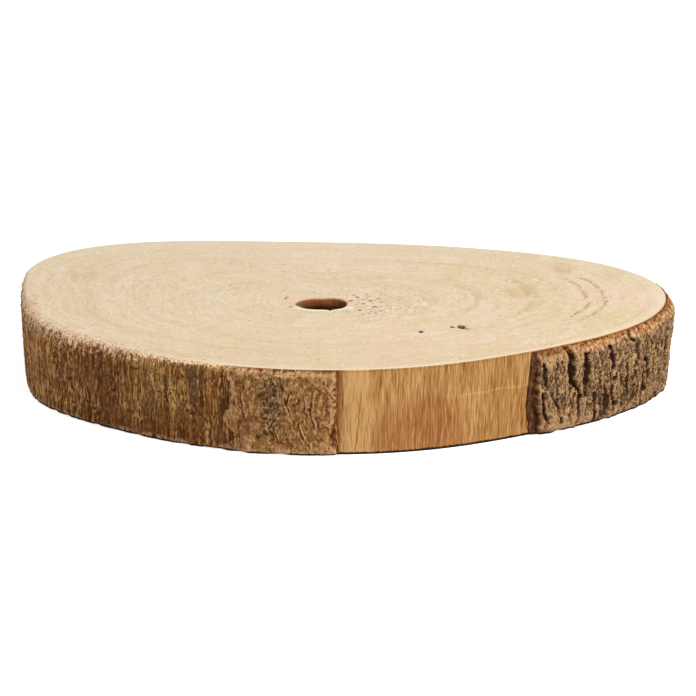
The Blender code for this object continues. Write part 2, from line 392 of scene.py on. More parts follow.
# The finer bark: rows of points go out along a patch's base, up its face, and in again along its crumbled top
FACE_ROWS = 84
BASE_ROWS = 3
TOP_ROWS = 12
END_COLUMNS = 8  # close together, for the broken ends
END_STEP = 0.16 * MM
LEAST_SHARE = 0.06  # of the thickness, at the very ends
LEAST_TOP_SLOPE = 0.1 * MM
THICK_JAG = 0.62 * MM  # how jagged the bark's upper edge is
THIN_JAG = 0.12 * MM
FLAKY_JAG = 0.26 * MM
MEAN_ARC = 150.0  # millimetres of arc a radian, so that patterns have a real size


def section_rows():
    """up and out for each row of points of a patch: 0 to 1 from base to top, and from the wood to the face."""
    base = [(0, i / BASE_ROWS) for i in range(BASE_ROWS)]
    face = [(i / FACE_ROWS, 1) for i in range(FACE_ROWS)]
    top = [(1, 1 - i / TOP_ROWS) for i in range(TOP_ROWS + 1)]
    up, out = np.array(base + face + top).T
    return up[:, None], out[:, None]


def patch_faces(rows, columns):
    """The faces of a closed patch: its base, face and top, one long face a column inside, and its two ends."""
    number = np.arange(rows * columns).reshape(rows, columns)
    faces = [quads_between(number[i], number[i + 1]) for i in range(rows - 1)]
    faces.append(quads_between(number[-1], number[0]))
    faces = np.concatenate(faces).tolist()
    return faces + [number[:, 0].tolist(), number[::-1, -1].tolist()]


def patch_points(angle, thickness, up, out, top_inner, top_outer, seed, jag):
    """Where the points of a patch go, wrapped round the wood, and the height of each."""
    degrees = np.degrees(angle)
    crumbled = 1 + layered_noise(degrees, 0, CRUMBLING, seed + CRUMBLING_SEED)
    chips = np.clip(layered_noise(degrees, 0, CHIPS, seed + CHIPS_SEED), 0, 1)
    arc = angle * MEAN_ARC
    slope = top_inner + (top_outer * crumbled - top_inner) * out**1.3
    radial = out * thickness / MM
    lumps = fractal(arc / 2.4, radial / 2.4, seed + 40) + 0.7 * swells(arc, radial, seed + 43)
    top = THICKNESS - np.maximum(slope + jag * lumps * smooth(4 * out), LEAST_TOP_SLOPE)
    base_lumps = np.abs(swells(arc / 1.7, 0 * arc, seed + 45))
    base = BARK_BASE + (0.6 * BASE_CHIPS * chips + 0.3 * jag * base_lumps) * out
    height = base + up * (top - base)
    near_top = np.clip(1 - (top - height) / WORN_TOP_HEIGHT, 0, 1)
    near_base = np.clip(1 - (height - base) / WORN_BASE_HEIGHT, 0, 1)
    worn = 1 - WORN_TOP * near_top**2 - WORN_BASE * near_base**2
    radius = wood_radius(angle, height) + SEAT_GAP + out * thickness * worn
    return points_round(radius, angle, height), height


def end_shares(columns):
    """How much of its thickness each column has: all of it, but for the few columns at each broken end."""
    share = np.ones(columns)
    rise = LEAST_SHARE + (1 - LEAST_SHARE) * smooth(np.arange(END_COLUMNS) / END_COLUMNS)
    share[:END_COLUMNS] = rise
    share[-END_COLUMNS:] = rise[::-1]
    return share


PLATE_ARC = math.radians(THICK_TO - THICK_FROM) * MEAN_RADIUS / THICK_PLATES
THICK_COLUMNS_PER_PLATE = 20
FRONT_COLUMNS_PER_PLATE = 28
FRONT_PLATES = 15

# Its deepest furrows: from and to in degrees and millimetres of height, and then width and depth in millimetres
GASHES = (
    (((-37.9, 41.0), (-37.5, 31.0), (-37.3, 24.0)), 3.0, 3.2),
    (((-37.2, 25.0), (-36.0, 20.0), (-34.6, 15.5)), 1.5, 2.2),
    (((-33.4, 36.5), (-33.0, 30.0), (-32.8, 22.0)), 3.1, 3.4),
    (((-33.3, 23.0), (-32.9, 16.5)), 1.3, 1.8),
    (((-26.7, 37.0), (-25.8, 26.0)), 2.4, 2.4),
    (((-22.7, 34.0), (-23.6, 28.0), (-24.8, 20.0)), 2.2, 3.2),
    (((-20.2, 40.0), (-18.9, 32.0), (-18.3, 25.0)), 2.4, 2.6),
    (((-14.6, 25.0), (-13.4, 15.5)), 2.0, 2.4),
    (((-15.3, 17.0), (-14.6, 9.0)), 3.4, 1.7),
    (((-25.5, 15.0), (-24.9, 5.0)), 2.6, 2.4),
    (((-27.8, 15.0), (-27.3, 6.5)), 3.0, 1.5),
    (((-35.3, 16.0), (-34.7, 3.0)), 3.2, 1.7),
    (((-44.2, 35.0), (-43.8, 26.0)), 2.2, 1.4),
    (((-44.3, 20.0), (-43.6, 5.0)), 1.8, 1.5),
    (((-40.9, 15.5), (-39.5, 5.0)), 1.6, 1.2),
    (((-30.5, 13.5), (-30.2, 2.0)), 2.0, 1.6),
    (((-21.1, 25.0), (-20.8, 11.0)), 1.6, 1.4),
    (((-10.4, 34.0), (-9.8, 23.0)), 2.0, 1.8),
)
GASH_WIDTH = 1.65
BACK_GASHES = 22
GASH_SEED = 87

# Sharp ridges that catch the light
CRESTS = (
    ((-43.1, 37.5), (-42.8, 33.0), (-43.3, 28.5)),
    ((-35.3, 23.5), (-34.6, 18.0), (-33.7, 13.0)),
    ((-42.3, 12.0), (-42.9, 2.0)),
    ((-39.7, 7.5), (-39.0, 0.5)),
    ((-23.2, 37.0), (-24.1, 30.0), (-25.3, 21.5)),
    ((-31.2, 37.0), (-29.8, 29.0)),
    ((-43.9, 24.0), (-42.3, 14.0)),
    ((-19.2, 31.0), (-19.6, 20.0)),
    ((-28.6, 26.0), (-28.9, 15.0)),
    ((-12.2, 31.0), (-12.0, 20.0)),
    ((-17.0, 14.0), (-17.6, 3.0)),
)


def gashes():
    """The deepest furrows: those seen from the front, and random ones behind."""
    random = np.random.default_rng(GASH_SEED)
    lines = list(GASHES)
    for i in range(BACK_GASHES):
        angle = -7 + 74 * (i + random.uniform(0.1, 0.9)) / BACK_GASHES
        foot, length = random.uniform(-2, 26), random.uniform(10, 20)
        lean = random.uniform(-1.2, 1.2)
        line = ((angle, foot), (angle + lean, foot + length / 2), (angle + 0.6 * lean, foot + length))
        lines.append((line, random.uniform(1.6, 2.6), random.uniform(1.4, 2.4)))
    return lines


def thick_columns():
    """Where the columns of points lie, counted in plates, with the close ones at the ends."""
    front = np.arange(1, FRONT_PLATES * FRONT_COLUMNS_PER_PLATE) / FRONT_COLUMNS_PER_PLATE
    back = np.arange(FRONT_PLATES * THICK_COLUMNS_PER_PLATE, THICK_PLATES * THICK_COLUMNS_PER_PLATE)
    even = np.concatenate([front, back / THICK_COLUMNS_PER_PLATE])
    ends = np.arange(END_COLUMNS) * END_STEP / PLATE_ARC
    inner = even[(even > ends[-1] * 1.05) & (even < THICK_PLATES - ends[-1] * 1.05)]
    return np.concatenate([ends, inner, THICK_PLATES - ends[::-1]])


def thick_relief(arc, rise):
    """The furrowed bark's finer relief in metres: long strands, plates stepped against each other, cracks, grit.
    Also where it gets painted highlight, on crests, and painted shade, in cracks and gashes."""
    bent = arc + 2.6 * swells(arc / 9, rise / 12, 61) + 0.8 * swells(arc / 3.5, rise / 6, 62)
    raised = rise + 3.0 * swells(arc / 6, rise / 11, 63)
    strands = ridged(bent / 2.5, raised / 12, 64) - 0.5
    threads = ridged(bent / 1.15, raised / 5, 66, 1) - 0.5
    _, tag, place = cell_noise(bent / 4.2, raised / 13, 67)
    step = (tag[..., 0] - 0.5) + 1.4 * (tag[..., 1] - 0.5) * place[..., 0]
    cracks = thin_lines(bent / 3.2, raised / 16, 68, 0.10)
    small = thin_lines(bent / 1.6, raised / 5.0, 69, 0.13)
    for slant, seed in ((0.42, 75), (-0.42, 76)):
        shown = smooth(2.5 * swells(arc / 6, rise / 8, seed + 2) + 0.6)
        small = np.maximum(small, shown * thin_lines((bent + slant * rise) / 2.6, rise / 9, seed, 0.11))
    across = thin_lines(bent / 8, raised / 4.5, 71, 0.07) * smooth(3 * swells(arc / 5, rise / 7, 72))
    grit = fractal(bent / 0.9, raised / 1.6, 70, 3)
    swayed = arc + 0.7 * swells(arc / 3, rise / 4.5, 73) + 0.3 * swells(arc / 1.2, rise / 1.8, 74)
    deep = 0 * arc
    for line, width, depth in gashes():
        deep = np.maximum(deep, depth * creases(swayed, rise, [line], GASH_WIDTH * width, 2.5))
    crests = creases(swayed, rise, CRESTS, 1.5) * (1 - smooth(deep))
    relief = 0.18 * strands + 0.20 * threads + 0.84 * step + 0.34 * grit + 0.75 * crests
    relief = (relief - 0.34 * cracks - 0.30 * small - 0.30 * across - 1.15 * deep) * MM
    light = smooth((strands + 0.6 * threads + 0.5 * grit - 0.10) / 0.45) * (1 - cracks) * (1 - small)
    light = np.maximum(light, crests) * (1 - smooth(deep / 0.8))
    dark = np.maximum(np.maximum(0.7 * cracks, 0.6 * small), 0.6 * across)
    return relief, light, np.maximum(dark, 1.5 * smooth(deep / 1.5))


GROOVES_FILLED = 0.62  # of the solid's own furrows, at the front, where the deep ones take their place
FRONT_LEAN = 1.2  # degrees that the front end leans in at its foot
FRONT_LEAN_RISE = 17.0  # millimetres of height
FRONT_LEAN_REACH = 3.0  # plates
TORN_LEVEL = 0.30  # of the thickness, left on the broken strip at the front
TORN_REACHES = (5.4, 2.0)  # millimetres, of the broken strips at the front and at the back
LEAST_THICKNESS = 0.9 * MM  # between the broken strips


def torn_share(from_end, rise, reach, seed):
    """How much thickness is left near a broken end, in millimetres from it, and how torn it is there."""
    edge = reach * (1 + 0.32 * fractal(0 * rise + 5, rise / 7, seed, 3))
    above = smooth((from_end - 0.6 * edge) / (0.5 * edge))
    rough = 0.13 * fractal(from_end / 0.9, rise / 6, seed + 5, 3) * (1 - above)
    return TORN_LEVEL + (1 - TORN_LEVEL) * above + rough, smooth(1.5 - 1.3 * above)


def thick_bark():
    along = thick_columns()
    up, out = section_rows()
    rows, columns = len(up), len(along)
    along = along[None] + 0 * up
    tall = up + 0 * along
    angle, _, _ = thick_bark_shape(along, tall)
    arc = angle * MEAN_ARC
    rise = tall * THICKNESS / MM
    from_end = np.minimum(along, THICK_PLATES - along)
    inside = np.clip(from_end, 0, 1)
    wander = 0.30 * swells(arc / 6, rise / 9, 56) + 0.13 * swells(arc / 2.2, rise / 3.5, 57)
    lift = 0.05 * swells(arc / 4, rise / 5, 58)
    _, thickness, groove = thick_bark_shape(
        np.clip(along + wander * inside, 0, THICK_PLATES - 0.001), np.clip(tall + lift, 0, 1)
    )
    torn = 0.5 * fractal(3.0 * (along > 1), rise / 4.5, 81, 3) * MM
    angle = angle + torn / MEAN_RADIUS * (1 - inside)
    at_front = smooth(1 - along / FRONT_LEAN_REACH)
    angle = angle + np.radians(FRONT_LEAN) * at_front * (1 - smooth(rise / FRONT_LEAN_RISE))
    reach = np.where(along < THICK_PLATES / 2, *TORN_REACHES)
    left, torn_side = torn_share(from_end * PLATE_ARC / MM, rise, reach, 84)
    relief, light, dark = thick_relief(arc, rise)
    shares = end_shares(columns)[None]
    filled = GROOVES_FILLED * (1 - smooth((np.degrees(angle) + 8) / 8))
    whole = np.maximum(thickness + relief + filled * groove, LEAST_THICKNESS) * shares * np.clip(left, 0.1, 1)
    on_top = (tall == 1) & (out < 1)
    even = blurred(blurred(whole, 5, 1), 5, 1)
    whole = np.where(on_top, even + (whole - even) * out**2, whole)
    whole = whole + 0.7 * (even - whole) * smooth(1.3 - rise / 2.0)
    points, height = patch_points(angle, whole, up, out, THICK_TOP_INNER, THICK_TOP_OUTER, THICK_SEED, THICK_JAG)
    level = whole * out
    frayed = 2.4 + 2.8 * smooth((np.degrees(angle) + 42) / 12)
    frayed = (frayed + 2.2 * fractal(arc / 3.0, rise / 2.2, 88, 3)) * MM
    crumbly = 0.85 * smooth((height - (THICKNESS - frayed)) / (0.9 * MM))
    # For the finish: relief and wide_relief paint shade into hollows and light onto what stands out; light is a
    # painted highlight on crests; dark is painted shade in cracks, gashes and furrows
    layers = {
        "relief": hollowness(level, 3, 0.9 * MM),
        "wide_relief": hollowness(level, 14, 3.4 * MM),
        "light": light,
        "dark": np.maximum(dark, (0.8 - filled) * smooth(groove / (0.7 * FURROW_DEPTH))),
        "torn": torn_side,
        "crumbly": np.maximum(crumbly, (tall == 1) * smooth(1.5 - out)),
    }
    mesh = mesh_of_grid("bark_right_fine", points, patch_faces(rows, columns), (arc * MM, height, level), layers)
    return add_piece("bark_right_fine", mesh, thick_bark_finish(), "bark_right")


FIBROUS_COLUMNS = 690
FLAKY_COLUMNS = 230

# Curled lips of the flakes, in degrees and millimetres of height
LIPS = (
    ((270.9, 36.0), (271.9, 31.7), (272.8, 26.7), (272.9, 23.0), (272.2, 16.5), (271.4, 14.3), (270.3, 16.7)),
    ((266.3, 14.7), (267.4, 8.7), (268.4, 2.7)),
    ((271.7, 13.3), (272.3, 7.3), (272.1, 2.0)),
    ((262.8, 37.7), (263.5, 32.0), (263.1, 26.7), (263.7, 22.0)),
    ((257.3, 37.6), (259.2, 37.3), (260.7, 37.9), (262.4, 37.4), (265.6, 37.2)),
    ((264.7, 29.0), (263.9, 25.3), (264.6, 20.0)),
    ((267.5, 27.0), (267.8, 22.3)),
    ((261.7, 11.3), (262.7, 6.0)),
    ((256.0, 33.0), (255.4, 26.0), (256.1, 17.0)),
    ((269.2, 30.0), (268.6, 22.0), (269.4, 15.0)),
)
ROUGH_ANGLE = 260.8  # the middle of the rough grey band among the flakes
WORN_ROUND = 0.9 * MM
RIM_ROUND = 0.8 * MM
WORN_DROP = 0.4 * MM  # how far the worn bark's upper edge has come down, and how far more between its tips
WORN_TIPS = 1.3 * MM


def worn_share(degrees):
    """How worn the rim is, by angle: fully at the far left, and less towards the front and the back."""
    degrees = np.mod(degrees, 360)
    return smooth((degrees - 118) / 40) * smooth((268 - degrees) / 70)


def thin_columns():
    """Angles of the columns of points in degrees, closer together on the flaky patch and at the ends."""
    step = math.degrees(END_STEP / MEAN_RADIUS)
    fibrous = np.linspace(THIN_FROM, FLAKY_FROM - 2, FIBROUS_COLUMNS)
    flaky = np.linspace(FLAKY_FROM - 2, THIN_TO, FLAKY_COLUMNS)
    angles = np.concatenate([fibrous, flaky[1:]])
    ends = np.arange(END_COLUMNS) * step
    inner = angles[(angles > THIN_FROM + ends[-1] * 1.05) & (angles < THIN_TO - ends[-1] * 1.05)]
    return np.concatenate([THIN_FROM + ends, inner, THIN_TO - ends[::-1]])


def fibre_relief(arc, rise):
    """The inner bark's finer relief: short upright fibres with slits between them, and where it gets painted
    highlight, on the fibres, and painted shade, in the slits.
    """
    bent = arc + 0.7 * swells(arc / 5, rise / 10, 91) + 0.3 * swells(arc / 2, rise / 4, 90)
    fibres = ridged(bent / 1.35, rise / 9, 92) - 0.5
    threads = fractal(bent / 0.8, rise / 4.0, 95, 2)
    _, tag, _ = cell_noise(bent / 2.0, rise / 9, 98)
    slits = thin_lines(bent / 1.7, rise / 8, 99, 0.14)
    relief = (0.36 * fibres + 0.20 * threads + 0.26 * (tag[..., 0] - 0.5) - 0.34 * slits) * MM
    light = smooth((fibres + 0.6 * threads - 0.05) / 0.4) * (1 - slits)
    return relief, light, slits


def flake_relief(arc, rise):
    """The flaky patch's finer relief: a few broad flakes with curled edges, folds, crumbs and slits, and where it gets
    painted highlight, on lips and curled edges, and painted shade, in gaps and slits and under the lips, with dark
    crumbs in the rough band."""
    bent = arc + 1.0 * swells(arc / 8, rise / 12, 101) + 0.5 * swells(arc / 2.5, rise / 4, 102)
    raised = rise + 1.8 * swells(arc / 8, rise / 10, 103) + 0.7 * swells(arc / 3, rise / 4, 104)
    edge, tag, place = cell_noise(bent / 6.0, raised / 15, 105)
    lifted = 0.6 * (tag[..., 0] - 0.5) + 0.9 * (tag[..., 1] - 0.5) * place[..., 0]
    shown = smooth(3 * swells(arc / 4, rise / 6, 112) + 0.1)
    gap = (1 - smooth(edge / 0.05)) * shown
    curled = smooth(1 - np.abs(edge - 0.09) / 0.05) * shown
    shown_lip = 0.45 + 0.55 * smooth(2 * swells(arc / 3, rise / 4, 117) + 0.6)
    lips = creases(bent, raised, LIPS, 0.8) * shown_lip
    # Painted shadow under the curled lips: a dark band offset from each lip
    under = creases(bent + 0.8, raised - 0.4, LIPS, 1.1) * (1 - lips) * shown_lip
    middle = math.radians(ROUGH_ANGLE) * MEAN_ARC + 1.4 * swells(0 * arc, rise / 6, 106)
    rough = smooth(1.3 - np.abs(arc - middle) / (2.4 + 4.0 * smooth((rise - 6) / 14)))
    crumbs = fractal(bent / 1.1, raised / 1.2, 107, 3)
    grain = fractal(bent / 1.5, raised / 2.1, 109, 3)
    slits = thin_lines(bent / 3.0, raised / 7, 110, 0.06)
    slits = slits * smooth(3 * swells(arc / 4, rise / 4, 114) - 0.2)
    relief = 0.45 * lifted + 0.10 * curled + 0.32 * lips + 0.20 * grain + 0.34 * rough * crumbs - 0.1 * rough
    relief = (relief - 0.16 * gap - 0.24 * slits - 0.26 * under) * MM
    light = np.maximum(np.maximum(lips, 0.4 * curled), smooth((grain - 0.25) / 0.6))
    light = light * (1 - gap) * (1 - slits) * (1 - 0.5 * rough)
    dark = np.maximum(np.maximum(0.5 * gap, 0.7 * slits), 0.6 * under)
    return relief, light, np.maximum(dark, 0.6 * rough * smooth(0.25 - 1.3 * crumbs))


def thin_bark():
    degrees = thin_columns()[None]
    up, out = section_rows()
    rows, columns = len(up), degrees.shape[1]
    along = (degrees - THIN_FROM) / (THIN_TO - THIN_FROM)
    degrees = degrees + RAGGED_BACK * ragged_edge(up, THIN_SEED) * np.clip(1 - 2 * along, 0, 1)
    degrees = degrees + RAGGED_FRONT * ragged_edge(up, THIN_SEED + 7) * np.clip(2 * along - 1, 0, 1)
    angle = np.radians(degrees)
    arc = angle * MEAN_ARC
    rise = up * THICKNESS / MM + 0 * arc
    torn = 0.25 * fractal(0 * arc + 5 * (along > 0.5), rise / 2.5, 111, 3) * MM
    angle = angle + torn / MEAN_RADIUS * (smooth(1 - along / 0.02) + smooth(1 - (1 - along) / 0.02))

    fibres = layered_noise(degrees, up, FIBRES, THIN_SEED + 1)
    flakes = layered_noise(degrees, up, FLAKES, THIN_SEED + 5)
    flaky = flaky_share(degrees - 0.8 + 0.35 * swells(arc / 3, rise / 2.2, 113), up + 0 * arc)
    merged = smooth((17 - rise) / 11) * smooth((FLAKY_FROM + 5.5 - degrees) / 4)
    flaky = flaky * (1 - 0.6 * merged)
    fine, fine_light, fine_dark = fibre_relief(arc, rise)
    rough, rough_light, rough_dark = flake_relief(arc, rise)
    near_floor = 0.4 + 0.6 * smooth(rise / 2.0)
    thickness = THIN_THICKNESS + (FIBRE_HEIGHT * fibres + fine) * (1 - flaky) * near_floor
    thickness = thickness + flaky * (FLAKY_THICKNESS + 0.6 * FLAKE_HEIGHT * flakes + rough)
    worn = worn_share(degrees)
    whole = np.maximum(thickness * end_shares(columns)[None], 0.25 * MM)
    fine_tips = np.abs(swells(arc / 1.1, 0 * arc, 115))
    broad_tips = np.abs(swells(arc / 4.3, 0 * arc, 116))
    lower = worn * (WORN_DROP + WORN_TIPS * (0.35 * fine_tips + 0.6 * broad_tips))
    feather = 1 - worn * 0.5 * smooth(1 - (1 - up) * THICKNESS / (4 * MM))
    tops = (THIN_TOP_INNER + lower, THIN_TOP_OUTER + lower)
    jag = THIN_JAG + (FLAKY_JAG - THIN_JAG) * flaky
    points, height = patch_points(angle, whole * feather, up, out, *tops, THIN_SEED, jag)
    level = whole * feather * out
    # For the finish: relief and wide_relief paint shade into hollows and light onto what stands out; light is a
    # painted highlight on fibres and flake lips; dark is painted shade in slits, gaps and under the lips, and dark
    # crumbs in the rough band
    layers = {
        "relief": hollowness(level, 3, 0.7 * MM),
        "wide_relief": hollowness(level, 12, 2.4 * MM),
        "light": fine_light * (1 - flaky) + rough_light * flaky,
        "dark": fine_dark * (1 - flaky) + rough_dark * flaky,
        "flaky": flaky,
        "worn": worn,
    }
    mesh = mesh_of_grid("bark_left_fine", points, patch_faces(rows, columns), (arc * MM, height, level), layers)
    return add_piece("bark_left_fine", mesh, thin_bark_finish(), "bark_left")


# The wood: columns round the pith, closer together where it is bare, and rows up its side, over its rim, in across
# its top, down the pith and out again along its base
COLUMN_STEPS = (
    (-90.0, -43.0, 0.14), (-43.0, -31.0, 0.5), (-31.0, 64.0, 1.3), (64.0, 118.0, 0.5), (118.0, 270.0, 0.9),
)
SIDE_ROWS = 40
RIM_ROWS = 6
TOP_FINE_ROWS = 34  # near the pith
TOP_FINE_REACH = 26 * MM
TOP_COARSE_ROWS = 22
PITH_ROWS = 14
PITH_ROUND = 0.3 * MM
PITH_LIP_REACH = 9 * MM  # below the lip the opening is as the solid has it
PLAIN_BASE_ROWS = 4
BASE_RIM_ROWS = 4

# Small pits in the top: millimetres to the right of the pith and behind it, and radius
PITS = (
    (-16.6, 12.6, 1.1), (-13.9, -5.5, 0.9), (-17.7, 28.9, 0.7), (-15.7, 15.9, 0.6), (13.5, 7.3, 1.1),
    (14.9, 19.2, 0.8), (17.0, 13.7, 0.7), (19.3, 10.6, 1.0), (19.3, 0.9, 0.9), (22.5, 7.3, 1.1), (17.6, -13.0, 0.9),
    (16.3, -1.0, 0.6), (24.3, -5.5, 0.9), (26.2, 12.7, 0.9), (27.6, 4.1, 0.8), (30.3, -3.4, 0.7),
    (11.7, -16.6, 0.6), (45.0, -57.8, 1.5), (63.4, -47.5, 2.2), (59.4, -48.0, 1.2),
)
PIT_LENGTH = 2.0  # of its breadth, from front to back
PITTED_SHARES = (0.475, 0.556)  # the stretch from pith to rim with the pits furthest out
PITTED_ROWS = 10

# The worn lip of the open pith: degrees, and how far it is from the axis in millimetres
PITH_LIP = (
    (-168, 11.4), (-151, 11.2), (-122, 12.1), (-106, 11.8), (-88, 11.8), (-78, 12.6), (-73, 14.8), (-67, 13.2),
    (-56, 13.0), (-42, 12.9), (-12, 11.6), (15, 11.9), (41, 13.2), (57, 14.2), (70, 14.6), (80, 13.6), (90, 12.5),
    (102, 13.1), (116, 13.4), (130, 12.7), (149, 11.9), (179, 11.6),
)


def bare_grain(arc, rise):
    """Shallow upright grain of the bare side, never standing out of the wood's own surface."""
    bent = arc + 0.9 * swells(arc / 7, rise / 12, 131) + 0.3 * swells(arc / 2, rise / 7, 132)
    grain = ridged(bent / 1.7, rise / 17, 133)
    fine = swells(bent / 0.8, rise / 8, 135)
    return -(0.17 * (1 - grain) + 0.05 * (1 + fine)) * MM


def column_angles():
    steps = [np.arange(start, end, step) for start, end, step in COLUMN_STEPS]
    return np.radians(np.concatenate(steps))


def pith_wall(angle, height):
    """Radius of the open pith at a height: torn a little, and narrower in places low down."""
    arc = angle * PITH_RADIUS / MM
    torn = 0.16 * fractal(arc / 2.0, height / MM / 5, 142, 2) * MM
    plain = waved_radius(PITH_RADIUS, PITH_WAVES, angle)
    lip = np.interp(np.degrees(angle), *np.array(PITH_LIP).T, period=360) * MM
    at_top = smooth(1 - (THICKNESS - height) / PITH_LIP_REACH)
    return plain + (lip - plain) * at_top + np.abs(torn)


def bare_share(degrees):
    """1 on the two stretches with no bark, and 0 under the bark."""
    front = smooth((degrees + 88) / 1.0) * smooth((-45.5 - degrees) / 1.0)
    back = smooth((degrees - 67) / 1.0) * smooth((116 - degrees) / 1.0)
    return front + back


def pit_depth(x, y):
    """How deep the top is pitted at points given in metres, and how far into a pit each one is."""
    depth = 0 * x
    for right, behind, radius in PITS:
        across = (x - PITH.x) / MM - right
        along = ((y - PITH.y) / MM - behind) / PIT_LENGTH
        depth = np.maximum(depth, smooth(1.6 - 1.6 * np.hypot(across, along) / radius) * 1.3 * radius * MM)
    return depth


def wood():
    angle = column_angles()[None]
    degrees = np.degrees(angle)
    worn = worn_share(degrees)
    rim = RIM_ROUND + worn * (WORN_ROUND + 0.5 * MM * fractal(degrees / 6, 0 * degrees, 151, 3))
    top_height = THICKNESS - rim
    arc = angle * MEAN_ARC

    radii, heights, sides, holes = [], [], [], []

    def add_row(radius, height, side, hole):
        for rows, value in ((radii, radius), (heights, height), (sides, side), (holes, hole)):
            rows.append(value + 0 * angle)

    for i in range(BASE_RIM_ROWS):
        turn = math.radians(90 * (1 - i / BASE_RIM_ROWS))
        inset = RIM_ROUND * (1 - math.cos(turn))
        height = RIM_ROUND * (1 - math.sin(turn))
        add_row(wood_radius(angle, height) - inset, height, 1.0, 0.0)
    for i in range(SIDE_ROWS):
        height = RIM_ROUND + (top_height - RIM_ROUND) * i / (SIDE_ROWS - 1)
        grain = bare_grain(arc, height / MM) * bare_share(degrees)
        add_row(wood_radius(angle, height) + grain, height, 1.0, 0.0)
    rim_grain = radii[-1] - wood_radius(angle, heights[-1])
    for i in range(1, RIM_ROWS + 1):
        turn = math.radians(90 * i / RIM_ROWS)
        height = THICKNESS - rim * (1 - math.sin(turn))
        inset = rim * (1 + 0.4 * worn) * (1 - math.cos(turn))
        share = 1 - i / RIM_ROWS
        add_row(wood_radius(angle, height) + rim_grain * share - inset, height, share, 0.0)

    rim_radius = radii[-1]
    fine_share = TOP_FINE_REACH / (MEAN_RADIUS - PITH_RADIUS)
    hole_radius = pith_wall(angle, THICKNESS) + PITH_ROUND
    coarse = 1 - (1 - fine_share) * np.arange(1, TOP_COARSE_ROWS + 1) / TOP_COARSE_ROWS
    fine = fine_share * (1 - np.arange(1, TOP_FINE_ROWS + 1) / TOP_FINE_ROWS)
    pitted = np.linspace(*PITTED_SHARES, PITTED_ROWS)
    outside = coarse[(coarse < pitted[0] - 0.01) | (coarse > pitted[-1] + 0.01)]
    for share in np.sort(np.concatenate([outside, pitted, fine]))[::-1]:
        radius = hole_radius + (rim_radius - hole_radius) * share
        depth = pit_depth(PITH.x + radius * np.cos(angle), PITH.y + radius * np.sin(angle))
        add_row(radius, THICKNESS - depth, 0.0, 0.0)
    for i in range(1, PITH_ROWS + 1):
        share = i / PITH_ROWS
        height = THICKNESS * (1 - share**1.4)
        lip = PITH_ROUND * smooth(1 - share * 6) + PITH_ROUND * smooth(share * 6 - 5)
        add_row(pith_wall(angle, height) + lip, height, 0.0, smooth(share * 12))
    base_rim = radii[0]
    base_hole = radii[-1]
    for i in range(1, PLAIN_BASE_ROWS):
        share = i / PLAIN_BASE_ROWS
        add_row(base_hole + (base_rim - base_hole) * share, 0.0, 0.0, 0.0)

    radius, height = np.concatenate(radii), np.concatenate(heights)
    side, hole = np.concatenate(sides), np.concatenate(holes)
    rows, columns = radius.shape
    points = points_round(radius, angle, height)
    number = np.arange(rows * columns).reshape(rows, columns)
    closed = np.column_stack([number, number[:, 0]])
    faces = [quads_between(closed[i], closed[(i + 1) % rows]) for i in range(rows)]
    outline = wood_radius(angle, THICKNESS)
    # pits: how far down into a pit a point lies, where the finish paints shade
    pits = np.clip((THICKNESS - height) / (0.5 * MM), 0, 1) * (side == 0) * (hole == 0) * (height > THICKNESS / 2)
    grain = radius - wood_radius(angle, height)
    layers = {
        "ring": radius / outline,
        "side": side,
        "hole": hole,
        "pit": pits,
        "grain": np.clip(1 + grain / (0.35 * MM), 0, 1),
        "worn": worn,
        "turn": np.cos(angle),
    }
    mesh = mesh_of_grid("wood_fine", points, np.concatenate(faces).tolist(), (arc * MM, height, radius), layers)
    return add_piece("wood_fine", mesh, wood_finish(), "wood")


# Finishes. Colours are linear.
SHEEN = 0.12
TOP = (0.80, 0.645, 0.445)
TOP_PINK = (0.85, 0.645, 0.465)
TOP_YELLOW = (0.77, 0.62, 0.38)
TOP_BAND = (0.66, 0.485, 0.275)
TOP_ARC = (0.56, 0.38, 0.19)
TOP_PORE = (0.26, 0.13, 0.05)
TOP_RIM = (0.88, 0.74, 0.54)
TOP_PALE = (0.86, 0.74, 0.57)
TOP_OLIVE = (0.73, 0.60, 0.31)
TOP_OCHRE = (0.66, 0.45, 0.21)
TOP_RED = (0.62, 0.37, 0.20)
TOP_CHIP = (0.96, 0.87, 0.68)
TOP_LIP = (0.88, 0.56, 0.38)
PIT_SHADE = (0.11, 0.050, 0.020)
BARE_DARK = (0.24, 0.090, 0.022)
BARE = (0.44, 0.200, 0.058)
BARE_LIGHT = (0.68, 0.39, 0.150)
BARE_RED = (0.48, 0.175, 0.060)
WORN_CREAM = (0.97, 0.69, 0.43)
WORN_TAN = (0.66, 0.385, 0.18)
WORN_DOT = (0.21, 0.080, 0.034)
WORN_BROWN = (0.60, 0.34, 0.16)
BACK_RIM_SHADE = (0.16, 0.085, 0.040)
WORN_SPECK = (0.20, 0.085, 0.030)
LIP = (0.46, 0.145, 0.050)
HOLE = (0.32, 0.095, 0.020)
HOLE_DARK = (0.050, 0.020, 0.005)
HOLE_LIT_GOLD = (0.34, 0.20, 0.050)
THIN_DARK = (0.075, 0.024, 0.005)
THIN = (0.255, 0.096, 0.023)
THIN_LIGHT = (0.66, 0.35, 0.125)
THIN_GOLD = (0.26, 0.125, 0.026)
THIN_GILT = (0.66, 0.42, 0.14)
THIN_FLECK = (0.78, 0.50, 0.27)
THIN_RED = (0.155, 0.048, 0.012)
THIN_GREY = (0.15, 0.085, 0.042)
FLAKE_DARK = (0.070, 0.026, 0.008)
FLAKE = (0.315, 0.142, 0.038)
FLAKE_LIGHT = (0.60, 0.36, 0.17)
FLAKE_GREY = (0.20, 0.115, 0.055)
FLAKE_RED = (0.27, 0.100, 0.032)
FLAKE_PINK = (0.66, 0.38, 0.21)
THICK_DARK = (0.045, 0.020, 0.008)
THICK = (0.215, 0.117, 0.053)
THICK_LIGHT = (0.58, 0.355, 0.18)
